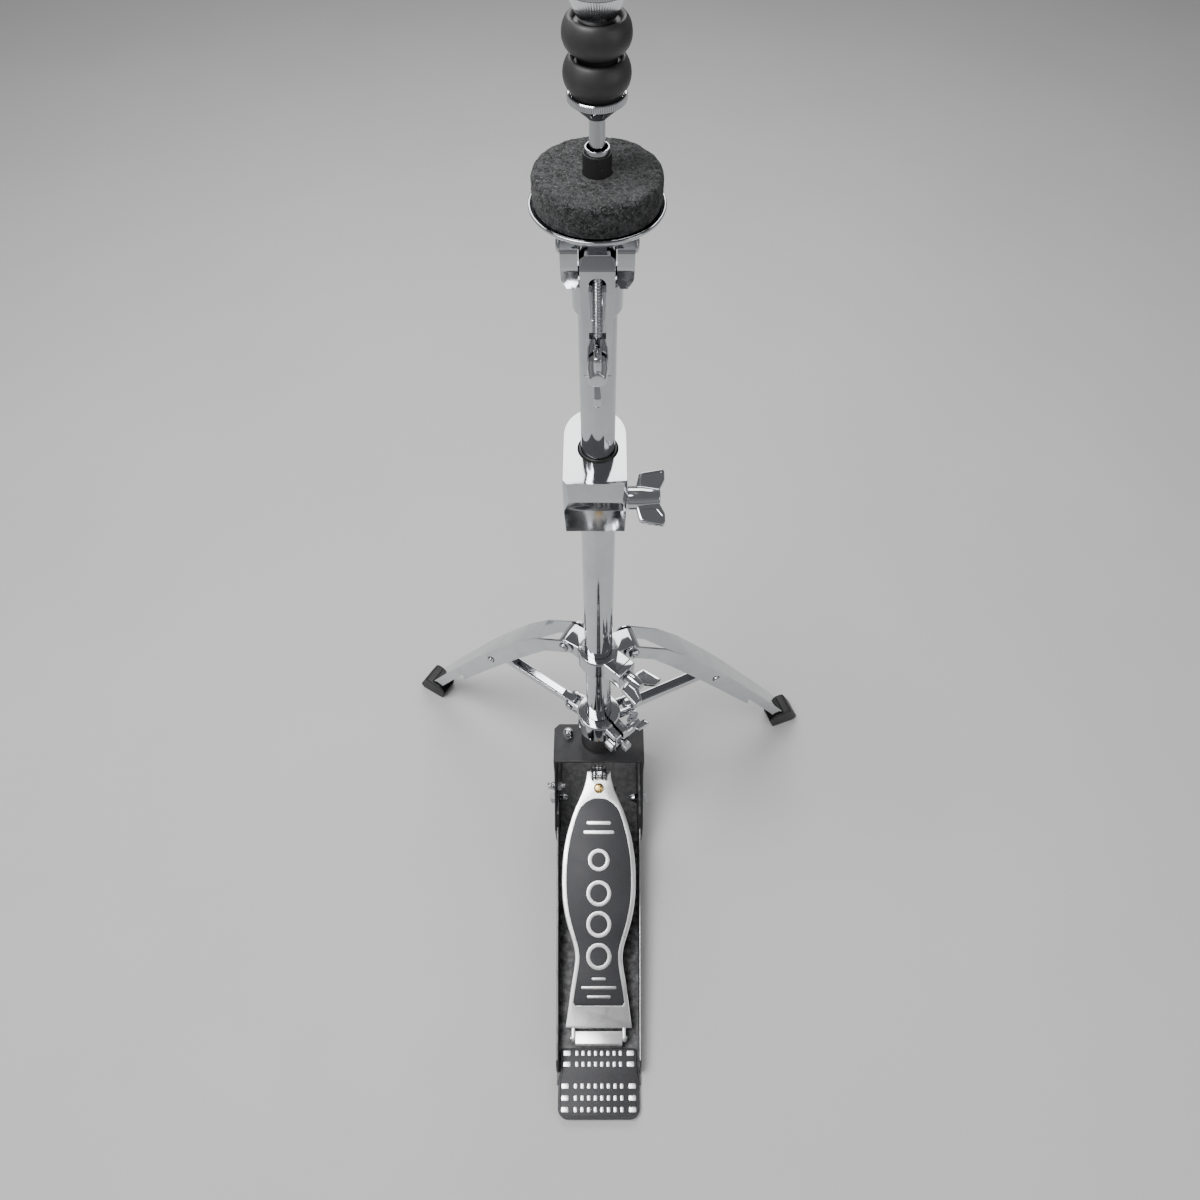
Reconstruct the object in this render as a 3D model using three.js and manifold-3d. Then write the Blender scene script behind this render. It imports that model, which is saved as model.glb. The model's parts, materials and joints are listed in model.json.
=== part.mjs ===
// Two-leg hi-hat stand. Millimetres, +Z up, the tube axis is x = y = 0, the pedal points to -Y,
// and the floor is z = 0.
import * as THREE from "three";
import { mergeVertices } from "three/addons/utils/BufferGeometryUtils.js";
import Module from "manifold-3d";

const wasm = await Module();
wasm.setup();

// ---------- driving dimensions ----------
const GAP = 0.3; // clearance between separate pieces
const ROD_R = 3.8, ROD_TOP = 1062, ROD_BOTTOM = 124;
const LOWER_R = 12.7, LOWER_BORE = 11.5, LOWER_BOTTOM = 121.4, LOWER_TOP = 577;
const UPPER_R = 11.1, UPPER_BORE = 10, UPPER_BOTTOM = 380, UPPER_TOP = 712;
const SEAT_TOP = 774.3, FELT_R = 32.3, CUP_R = 34;
const SLEEVE_R = 7, SLEEVE_TOP = 783, SEAT_TUBE_R = 6, SEAT_BORE = 5.3, SEAT_TUBE_TOP = 785.3;
const TILT_Y = 0, TILT_Z = 735;
const PLATE_Z = 121, PLATE_T = 2.5, BRACKET_HALF = 50, BRACKET_T = 2;
const PAD_H = 1.8, FLOOR_Z = 1.9, FLOOR_T = 2.3; // base plate: underside and thickness
const HEEL_FRONT = -360, HEEL_TOP = 8.2, HINGE_Y = -288.5, HINGE_Z = 16;
const BOARD_HEEL = [-281, 22], BOARD_TOE = [-29, 96], BOARD_T = 5;
const TOE_PIN = [-36, 97.5], YOKE_PIN = [-2, 116.5]; // the chain's two pins (y, z)
const AZ_R = 20.5, AZ_L = 148.5; // directions of the two legs, degrees from +X
const LEG_PIVOT = [30, 316], STRUT_PIN = [128, 200], STRUT_PIVOT = [32, 182]; // (r, z)
const CLUTCH_Z = 799;
const LUG_UPPER = -42, LUG_LOWER = -46; // directions of the collars' clamp lugs
const FINE = 0.32; // half the share of the stated segments that turned solids get

// ---------- colours ----------
const mat = (color, roughness, metalness) => new THREE.MeshStandardMaterial({ color, roughness, metalness });
const chrome = mat(0xd9dbde, 0.08, 1);
const cast = mat(0xb9babc, 0.35, 1);
const black = mat(0x1b1b1d, 0.45, 0.3);
const rubber = mat(0x141414, 0.85, 0);
const felt = mat(0x3a3a3d, 1, 0);
const inlay = mat(0x4a4b4e, 0.6, 0.4);
const brass = mat(0xb08a3e, 0.3, 1);
const steel = mat(0x8f9194, 0.3, 1);
const nylon = mat(0x202022, 0.6, 0);

// ---------- solids ----------
function solid(geometry) {
  let g = geometry.index ? geometry.toNonIndexed() : geometry.clone();
  g.deleteAttribute("normal");
  g.deleteAttribute("uv");
  g = mergeVertices(g, 1e-4);
  const make = (idx) =>
    new wasm.Manifold(new wasm.Mesh({ numProp: 3, vertProperties: new Float32Array(g.attributes.position.array), triVerts: idx }));
  const idx = new Uint32Array(g.index.array);
  let s = make(idx);
  if (s.volume() < 0) {
    for (let i = 0; i < idx.length; i += 3) [idx[i + 1], idx[i + 2]] = [idx[i + 2], idx[i + 1]];
    s = make(idx);
  }
  return s;
}
const add = (...p) => p.flat().reduce((a, b) => a.add(b));
const cut = (a, ...p) => p.flat().reduce((x, b) => x.subtract(b), a);
const both = (a, ...p) => p.flat().reduce((x, b) => x.intersect(b), a);

const M4 = () => new THREE.Matrix4();
// a frame whose x, y, z axes and origin are given
const frame = (x, y, z, o) => M4().makeBasis(new THREE.Vector3(...x), new THREE.Vector3(...y), new THREE.Vector3(...z)).setPosition(new THREE.Vector3(...o));

function box(x0, x1, y0, y1, z0, z1, m) {
  const g = new THREE.BoxGeometry(x1 - x0, y1 - y0, z1 - z0);
  g.translate((x0 + x1) / 2, (y0 + y1) / 2, (z0 + z1) / 2);
  if (m) g.applyMatrix4(m);
  return solid(g);
}
// closed profile [[r, z], ...] turned about Z
function turn(profile, seg = 32, m) {
  seg = Math.max(8, 2 * Math.round(seg * FINE));
  const pts = profile.map(([r, z]) => new THREE.Vector2(Math.max(r, 0), z));
  const first = profile[0], last = profile[profile.length - 1];
  if (!(first[0] <= 0 && last[0] <= 0)) pts.push(pts[0].clone());
  const g = new THREE.LatheGeometry(pts, seg);
  g.rotateX(Math.PI / 2);
  if (m) g.applyMatrix4(m);
  return solid(g);
}
// cylinder about Z from z0 to z1, as a turned solid
const rod = (r, z0, z1, seg = 32, m) => turn([[0, z0], [r, z0], [r, z1], [0, z1]], seg, m);
const ring = (ri, ro, z0, z1, seg = 32, m) => turn([[ri, z0], [ro, z0], [ro, z1], [ri, z1]], seg, m);
// frames that send Z along X or -Y, at a point
const alongX = (x, y, z) => frame([0, 1, 0], [0, 0, 1], [1, 0, 0], [x, y, z]);
const alongY = (x, y, z) => frame([1, 0, 0], [0, 0, 1], [0, -1, 0], [x, y, z]);
// outline [[a, b], ...] in a plane, extruded by depth along the plane's normal
function prism(outline, depth, m, holes = [], bevel = 0) {
  const shape = new THREE.Shape(outline.map(([a, b]) => new THREE.Vector2(a, b)));
  for (const h of holes) shape.holes.push(new THREE.Path(h.map(([a, b]) => new THREE.Vector2(a, b))));
  const g = new THREE.ExtrudeGeometry(shape, bevel
    ? { depth: depth - 2 * bevel, bevelEnabled: true, bevelThickness: bevel, bevelSize: bevel, bevelOffset: -bevel, bevelSegments: 1 }
    : { depth, bevelEnabled: false });
  if (bevel) g.translate(0, 0, bevel);
  if (m) g.applyMatrix4(m);
  return solid(g);
}
// (a, b) -> (y, z), extruded from x0 towards +X
const acrossX = (x0) => frame([0, 1, 0], [0, 0, 1], [1, 0, 0], [x0, 0, 0]);
// (a, b) -> (x, y), extruded from z0 upwards
const upFrom = (z0) => M4().makeTranslation(0, 0, z0);
const circle = (cx, cy, r, n = 24, a0 = 0, a1 = 360) =>
  Array.from({ length: n + (a1 - a0 < 360 ? 1 : 0) }, (_, i) => {
    const t = ((a0 + ((a1 - a0) * i) / n) * Math.PI) / 180;
    return [cx + r * Math.cos(t), cy + r * Math.sin(t)];
  });
const hexagon = (flat) => circle(0, 0, flat / Math.sqrt(3), 6);
// outline with rounded corners: [[x, y, r], ...]
function rounded(points, n = 4) {
  const out = [];
  points.forEach(([x, y, r], i) => {
    if (!r) return out.push([x, y]);
    const p = new THREE.Vector2(x, y);
    const a = points[(i + points.length - 1) % points.length], b = points[(i + 1) % points.length];
    const u = new THREE.Vector2(a[0], a[1]).sub(p).normalize(), v = new THREE.Vector2(b[0], b[1]).sub(p).normalize();
    const half = Math.acos(THREE.MathUtils.clamp(u.dot(v), -1, 1)) / 2, d = r / Math.tan(half);
    const s = p.clone().addScaledVector(u, d), e = p.clone().addScaledVector(v, d);
    const c = p.clone().addScaledVector(u.clone().add(v).normalize(), r / Math.sin(half));
    let t0 = Math.atan2(s.y - c.y, s.x - c.x), t1 = Math.atan2(e.y - c.y, e.x - c.x);
    while (t1 - t0 > Math.PI) t1 -= 2 * Math.PI;
    while (t1 - t0 < -Math.PI) t1 += 2 * Math.PI;
    for (let k = 0; k <= n; k++) {
      const t = t0 + ((t1 - t0) * k) / n;
      out.push([c.x + r * Math.cos(t), c.y + r * Math.sin(t)]);
    }
  });
  return out;
}

const group = new THREE.Group();
function put(name, s, material) {
  const m = s.getMesh();
  const g = new THREE.BufferGeometry();
  const v = new Float32Array(m.numVert * 3);
  for (let i = 0; i < m.numVert; i++) v.set(m.vertProperties.subarray(i * m.numProp, i * m.numProp + 3), i * 3);
  g.setAttribute("position", new THREE.BufferAttribute(v, 3));
  g.setIndex(new THREE.BufferAttribute(new Uint32Array(m.triVerts), 1));
  const flat = g.toNonIndexed();
  flat.computeVertexNormals();
  const mesh = new THREE.Mesh(flat, material);
  mesh.name = name;
  group.add(mesh);
  return s;
}
// a wing screw or wing nut, its axis along the frame's Z, hub from z = 0, wings in the frame's X
function wings(m, { hub = 6.5, hubH = 14, span = 40, wingH = 11, wingT = 4.5, wingZ0 = 5, tip = 5 }) {
  const h = turn([[0, 0], [hub, 0], [hub, hubH * 0.45], [hub * 0.72, hubH], [0, hubH]], 20, m);
  const s = span / 2;
  const o = rounded([[-hub * 0.5, wingZ0 - 3, 0], [-s + 3, wingZ0, 3], [-s, wingZ0 + wingH + tip, 3], [-s + 8, wingZ0 + wingH + tip, 3], [-hub * 0.5, hubH - 1, 0],
    [hub * 0.5, hubH - 1, 0], [s - 8, wingZ0 + wingH + tip, 3], [s, wingZ0 + wingH + tip, 3], [s - 3, wingZ0, 3], [hub * 0.5, wingZ0 - 3, 0]], 3);
  // outline (a, b) -> frame (x, z), thickness along the frame's y
  const w = prism(o, wingT, m.clone().multiply(frame([1, 0, 0], [0, 0, 1], [0, -1, 0], [0, wingT / 2, 0])));
  return h.add(w);
}

// ---------- base ----------
put("pad_rear", box(-38, 38, -62, 26, 0, PAD_H), rubber);
put("pad_front", box(-34, 34, -352, -300, 0, PAD_H), rubber);

{
  const half = (y) => (y > -74 ? 47.7 : 47.7 - (4.7 * (-74 - y)) / 245);
  const ys = [-330, -319, -74, 34];
  const side = (inset) => [...ys.map((y) => [half(y) - inset, y]), ...ys.slice().reverse().map((y) => [-(half(y) - inset), y])];
  let s = prism(side(0), 64, upFrom(FLOOR_Z));
  const inner = prism(side(2.2).map(([x, y]) => [x, y < -325 ? y - 10 : y > 30 ? y + 10 : y]), 80, upFrom(FLOOR_Z + FLOOR_T));
  const above = prism([[-400, FLOOR_Z + FLOOR_T + 0.01], [-318.5, FLOOR_Z + FLOOR_T + 0.01], [-318, 16], [-315, 24.5], [-310, 26], [-78, 50], [-66, 60], [26, 60], [34.5, 40], [60, 40], [60, 99], [-400, 99]], 120, acrossX(-60));
  s = cut(s, inner, above);
  // a second thickness of sheet under the bracket
  s = s.add(box(-45.2, 45.2, -80, 30, FLOOR_Z + 1, FLOOR_Z + FLOOR_T + 2.2));
  s = cut(s, rod(2.8, -60, 60, 16, alongX(0, -44, 52)));
  put("base_plate", s, black);
}
{
  const outline = [[-28, 121], [17, 121], [22, 100], [34, 46], [36, 8], [34, 5], [-76, 5], [-80, 9], [-80, 46], [-76, 52], [-40, 82], [-31, 95]];
  const outer = prism(outline, 2 * BRACKET_HALF, acrossX(-BRACKET_HALF));
  let s = cut(outer, box(-BRACKET_HALF + BRACKET_T, BRACKET_HALF - BRACKET_T, -90, 45, 0, PLATE_Z - PLATE_T));
  // chamfered rear corners of the top plate
  for (const k of [-1, 1]) {
    const c = [[k * 43.5, 18], [k * 51, 10.5], [k * 51, 30], [k * 43.5, 30]];
    s = cut(s, prism(k > 0 ? c : c.reverse(), 60, upFrom(92)));
  }
  s = cut(s, rod(12, 100, 130, 28), rod(3.0, 100, 130, 16, M4().makeTranslation(-34, 3, 0)), rod(2.8, -60, 60, 16, alongX(0, -44, 52)));
  s = cut(s, rod(2.8, -60, 0, 16, alongX(0, -35, 66)));
  put("base_bracket", s, black);
}
{
  const s = turn([[13, 121.4], [19.2, 121.4], [19.2, 124], [18.6, 125], [18.2, 146], [17, 149.5], [13, 150]], 36);
  const ribs = [45, 135, 225, 315].map((a) => box(17, 23, -2, 2, 121.4, 136, M4().makeRotationZ((a * Math.PI) / 180)));
  put("tube_boss", s, black);
}
// side bolts: hex head outside, shank, and a domed nut inside
for (const [k, n] of [[-1, "L"], [1, "R"]]) {
  const m = k > 0 ? alongX(0, -44, 52) : frame([0, 1, 0], [0, 0, -1], [-1, 0, 0], [0, -44, 52]);
  put("side_bolt_" + n, add(prism(hexagon(11), 4.6, m.clone().multiply(upFrom(50.2))), rod(6.8, 54.6, 55.6, 20, m), rod(2.5, 36.5, 51, 16, m)), steel);
  put("side_nut_" + n, cut(add(prism(hexagon(10), 4.4, m.clone().multiply(upFrom(40.8))), turn([[0, 35.2], [2.6, 35.8], [4.2, 38], [4.6, 41], [0, 41]], 18, m)), rod(2.8, 36.2, 46, 16, m)), steel);
}
{
  const m = frame([0, 1, 0], [0, 0, -1], [-1, 0, 0], [0, -35, 66]);
  const head = add(rod(5, 50.3, 53.5, 20, m), box(-2.2, 2.2, -5.5, 5.5, 53, 58.5, m));
  put("tee_bolt", add(head, rod(2.5, 38.5, 51, 16, m)), chrome);
  put("tee_bolt_nut", cut(prism(hexagon(9), 5, m.clone().multiply(upFrom(42.6))), rod(2.8, 40, 49, 16, m)), steel);
}

// ---------- heel ----------
{
  const plan = rounded([[-41, HEEL_FRONT, 10], [41, HEEL_FRONT, 10], [41, -323, 2], [39.4, -320, 1], [39.4, -297, 3], [-39.4, -297, 3], [-39.4, -320, 1], [-41, -323, 2]], 4);
  let s = prism(plan, HEEL_TOP - 4.4, upFrom(4.4));
  s = s.add(prism(rounded([[-41, HEEL_FRONT, 10], [41, HEEL_FRONT, 10], [41, -331, 0], [-41, -331, 0]], 4), 4.5, upFrom(2)));
  const pocket = rounded([[-38.8, -357.8, 8], [38.8, -357.8, 8], [38.8, -324, 2], [37.4, -321, 1], [37.4, -299.2, 2], [-37.4, -299.2, 2], [-37.4, -321, 1], [-38.8, -324, 2]], 3);
  s = cut(s, prism(pocket, 5, upFrom(HEEL_TOP - 1)));
  put("heel_plate", s, cast);
  const q = rounded([[-38.5, -357.5, 7.7], [38.5, -357.5, 7.7], [38.5, -324, 1.7], [37.1, -321, 1], [37.1, -299.5, 1.7], [-37.1, -299.5, 1.7], [-37.1, -321, 1], [-38.5, -324, 1.7]], 3);
  put("heel_inlay", prism(q, 0.6, upFrom(HEEL_TOP - 0.9)), inlay);
}
{
  const o = rounded([[-295.8, 4.4, 0], [-282, 4.4, 0], [-282, 9, 0.5], [-282.1, 14, 0.5], [-282.1, 20.5, 1.2], [-295.4, 20.5, 2], [-295.8, 10, 1]], 3);
  put("hinge_block", cut(prism(o, 48.6, acrossX(-24.3)), rod(2.8, -40, 40, 16, alongX(0, HINGE_Y, HINGE_Z))), cast);
  put("hinge_pin", rod(2.5, -29.6, 29.6, 18, alongX(0, HINGE_Y, HINGE_Z)), steel);
}

// ---------- footboard ----------
const boardAngle = Math.atan2(BOARD_TOE[1] - BOARD_HEEL[1], BOARD_TOE[0] - BOARD_HEEL[0]);
// board frame: x across, y from heel to toe along the top face, z out of the top face
const board = frame([1, 0, 0], [0, Math.cos(boardAngle), Math.sin(boardAngle)], [0, -Math.sin(boardAngle), Math.cos(boardAngle)], [0, BOARD_HEEL[0], BOARD_HEEL[1]]);
{
  const widths = [[-29, 27], [-36, 28.4], [-47, 34], [-59, 44.4], [-72, 56], [-84, 64], [-100, 72.4], [-120, 78.6], [-140, 79.8], [-160, 77.6], [-179, 70.2], [-198, 57.6], [-208, 51.9], [-217, 50.6], [-227, 53.1], [-245, 59.4], [-261, 63.9], [-280, 69.7]];
  const s = (y) => (y - BOARD_HEEL[0]) / Math.cos(boardAngle);
  const right = widths.map(([y, w]) => [w / 2, s(y)]);
  const outline = [...right.slice().reverse(), ...right.map(([x, y]) => [-x, y])];
  let b = prism(outline, BOARD_T, board.clone().multiply(upFrom(-BOARD_T)), [], 0.8);
  const rim = 4.5;
  const inner = widths.filter(([y]) => y <= -72 && y >= -245);
  const arch = [[10, s(-58.5)], [17, s(-63)]];
  const half = [...arch, ...inner.map(([y, w]) => [w / 2 - rim, s(y)]), [27, s(-257)], [24.5, s(-260)]];
  const loop = [...half.slice().reverse(), ...half.map(([x, y]) => [-x, y])];
  b = cut(b, prism(loop, 5, board.clone().multiply(upFrom(-1.0))));
  // side skirts that stiffen the board, and the two hinge ears at the heel
  const ear = rounded([[-290 - 3.6, HINGE_Z - 1, 0], [-292.5, HINGE_Z + 3.8, 0], [-288.5, HINGE_Z + 5, 0], [-278, 22.2, 0], [-262, 26.5, 0], [-262, 23, 0], [-280, 15.5, 0], [-286, HINGE_Z - 4.6, 0], [-291, HINGE_Z - 4.2, 0]], 2);
  for (const k of [-1, 1]) b = b.add(prism(ear, 3.3, acrossX(k > 0 ? 24.6 : -27.9)));
  b = cut(b, rod(2.8, -60, 60, 16, alongX(0, HINGE_Y, HINGE_Z)));
  b = cut(b, rod(3.0, -8, 3, 16, board.clone().multiply(M4().makeTranslation(0, s(-47), 0))));
  // a shallow seat in the toe for the chain's end
  b = cut(b, box(-5.8, 5.8, s(-40.6), s(-20), -1.3, 3, board));
  put("footboard", b, cast);
  const small = half.map(([x, y]) => [x - 0.35, y]);
  const q = [...small.slice().reverse(), ...small.map(([x, y]) => [-x, y])];
  // trimmed a little at both ends so that it clears the pocket
  const trim = box(-60, 60, s(-259.7), s(-58.9), -2, 2, board);
  put("footboard_inlay", both(prism(q, 0.7, board.clone().multiply(upFrom(-0.85))), trim), inlay);
  // screw that holds the toe clamp
  const at = board.clone().multiply(M4().makeTranslation(0, s(-47), 0));
  put("toe_screw", cut(add(turn([[0, 0.3], [5.6, 0.3], [5.4, 1.5], [3.6, 2.7], [0, 3.1]], 24, at), rod(2.6, -10.5, 0.5, 16, at)), box(-3, 3, -0.6, 0.6, 1.8, 4, at), box(-0.6, 0.6, -3, 3, 1.8, 4, at)), brass);
  // clamp under the toe, with a lug that rises to the chain's lower pin
  const [py, pz] = TOE_PIN;
  const inv = board.clone().invert();
  const pin = new THREE.Vector3(0, py, pz).applyMatrix4(inv);
  let c = box(-8.5, 8.5, s(-62), s(-26.2), -10, -BOARD_T - 0.3, board);
  c = add(c, box(-8.5, 8.5, s(-28.6), s(-25.2), -10, pin.z - 3, board));
  c = cut(c, rod(2.9, -12, 3, 16, at));
  // cross bar under the toe, its ends in view on both sides
  c = add(c, rod(3.2, -19, -8, 14, board.clone().multiply(frame([0, 1, 0], [0, 0, 1], [1, 0, 0], [0, s(-47), -8.6]))), rod(3.2, 8, 19, 14, board.clone().multiply(frame([0, 1, 0], [0, 0, 1], [1, 0, 0], [0, s(-47), -8.6]))));
  // hook over the front edge
  for (const k of [-1, 1]) c = add(c, prism([[s(-28.6), -4], [s(-25.2), -4], [s(-25.2), pin.z - 2], [pin.y + 2.5, pin.z + 3.2], [pin.y - 2.5, pin.z + 3.2], [pin.y - 4, pin.z], [pin.y - 3, pin.z - 3.4], [s(-28.6), 1.2]].map(([a, b2]) => [a, b2]), 1.6,
    board.clone().multiply(frame([0, 1, 0], [0, 0, 1], [1, 0, 0], [k > 0 ? 6.9 : -8.5, 0, 0]))));
  put("toe_clamp", c, black);
}

// ---------- chain ----------
{
  const dy = YOKE_PIN[0] - TOE_PIN[0], dz = YOKE_PIN[1] - TOE_PIN[1], L = Math.hypot(dy, dz);
  // x across, y along the chain from the toe pin, z out
  const m = frame([1, 0, 0], [0, dy / L, dz / L], [0, -dz / L, dy / L], [0, TOE_PIN[0], TOE_PIN[1]]);
  const n = 4, p = L / n;
  const parts = [];
  const link = (i) => {
    const a = i * p, b = (i + 1) * p, r = 3.4, o = [];
    o.push(...circle(a, 0, r, 4, 90, 270), ...circle(b, 0, r, 4, 270, 450));
    return o;
  };
  for (let i = 0; i < n; i++) {
    const outer = i % 2 === 1;
    for (const x of outer ? [-6.2, -0.75, 4.7] : [-4.4, 2.9])
      parts.push(prism(link(i), 1.5, m.clone().multiply(frame([0, 1, 0], [0, 0, 1], [1, 0, 0], [x, 0, 0]))));
  }
  for (let i = 0; i <= n; i++) parts.push(rod(1.6, -6.4, 6.4, 8, m.clone().multiply(frame([0, 1, 0], [0, 0, 1], [1, 0, 0], [0, i * p, 0]))));
  put("chain", add(parts), steel);
}

// ---------- pull rod ----------
put("pull_rod", turn([[0, ROD_BOTTOM], [ROD_R, ROD_BOTTOM], [ROD_R, ROD_TOP - 1.5], [ROD_R - 1, ROD_TOP], [0, ROD_TOP]], 24), chrome);
{
  const [py, pz] = YOKE_PIN;
  // a short barrel on the rod's end, two cheeks that hold the chain's upper pin, and an arm to the spring
  let s = rod(8.6, 121.6, 136, 28);
  s = add(s, prism(rounded([[py - 4.2, pz - 3.6, 2.5], [py + 8, pz - 3.6, 2.5], [py + 8, 124, 0], [py - 4.2, 124, 0]], 3), 17.0, acrossX(-8.5)));
  s = cut(s, box(-7, 7, -20, 20, 90, 121.5));
  s = cut(s, rod(ROD_R + GAP, 123.7, 140, 24));
  // arm
  s = add(s, prism(rounded([[-8.4, 112.9, 0], [-8.4, 118, 0], [-22, 118, 0], [-25.5, 114, 0], [-25.5, 79, 0], [-37.5, 79, 2.5], [-37.5, 72.5, 2.5], [-20, 72.5, 3], [-20, 110, 0], [-18, 112.9, 0]], 3), 3, frame([1, 0, 0], [0, 0, 1], [0, -1, 0], [0, 5, 0])));
  s = cut(s, rod(1.7, -10, 10, 12, alongY(-34, 3, 76.5)));
  put("rod_yoke", s, steel);
}

// ---------- return spring ----------
{
  const turns = 8, seg = 8, r = 4.6, wire = 1.0, z0 = 83, z1 = 107.5, cx = -34, cy = 3;
  const pts = [new THREE.Vector3(cx, cy - 3.2, 76.5), new THREE.Vector3(cx, cy - 3.0, 79.5)];
  for (let i = 0; i <= turns * seg; i++) {
    const t = i / seg, a = -Math.PI / 2 + t * 2 * Math.PI;
    pts.push(new THREE.Vector3(cx + r * Math.cos(a), cy + r * Math.sin(a), z0 + ((z1 - z0) * i) / (turns * seg)));
  }
  pts.push(new THREE.Vector3(cx, cy - 2.6, 109.6), new THREE.Vector3(cx, cy, 110.2));
  const curve = new THREE.CatmullRomCurve3(pts, false, "centripetal");
  const shape = new THREE.Shape(circle(0, 0, wire, 5).map(([a, b]) => new THREE.Vector2(a, b)));
  put("return_spring", solid(new THREE.ExtrudeGeometry(shape, { steps: turns * seg + 10, bevelEnabled: false, extrudePath: curve })), steel);
  const m = M4().makeTranslation(cx, cy, 0);
  put("spring_adjuster", add(turn([[0, 111.6], [2.6, 111.6], [2.6, 121.4], [5.2, 121.4], [5.4, 124], [3.4, 125.4], [3.6, 126.6], [5.4, 129.2], [5.2, 131.6], [3, 133.6], [0, 134]], 24, m)), chrome);
}

// ---------- tubes and height clamp ----------
put("lower_tube", ring(LOWER_BORE, LOWER_R, LOWER_BOTTOM, LOWER_TOP, 40), chrome);
put("upper_tube", ring(UPPER_BORE, UPPER_R, UPPER_BOTTOM, UPPER_TOP, 40), chrome);
{
  const arch = circle(0, 0, 1, 16, 0, 180).map(([x, y]) => [-2 + 21 * x, 12 + 25 * y]);
  const plan = [[-19, -33], [16, -33], [19, -28], ...arch, [-23, -28]];
  let s = prism(plan, 69, upFrom(516), [], 1);
  // upper face leans back above the ridge, lower face runs in to the tube
  s = cut(s, prism([[-60, 569], [-33, 569], [-30.5, 590], [-60, 590]], 100, acrossX(-50)),
    prism([[-60, 569], [-33, 569], [-15.2, 515], [-15.2, 500], [-60, 500]], 100, acrossX(-50)),
    prism([[60, 574], [37.5, 570], [15.5, 520], [15.5, 500], [60, 500]], 100, acrossX(-50)));
  s = cut(s, rod(LOWER_R + GAP, 490, LOWER_TOP + GAP, 40), rod(13.6, LOWER_TOP + GAP, 600, 40));
  s = cut(s, rod(4.3, 0, 30, 20, alongX(8, -21.5, 560)));
  put("height_clamp", s, chrome);
  put("clamp_bushing", turn([[UPPER_R + GAP, LOWER_TOP + 0.6], [13.3, LOWER_TOP + 0.6], [13.3, 585.4], [12.9, 586.2], [UPPER_R + GAP, 586.2]], 40), nylon);
  const m = frame([0, 1, 0], [0, 0, 1], [1, 0, 0], [19.6, -21.5, 560]).multiply(M4().makeRotationZ(0.35));
  put("height_screw", add(rod(4, -8, 1, 20, m), wings(m, { hub: 8, hubH: 22, span: 40, wingH: 11, wingT: 6, wingZ0: 8, tip: 6 })), chrome);
}

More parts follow.
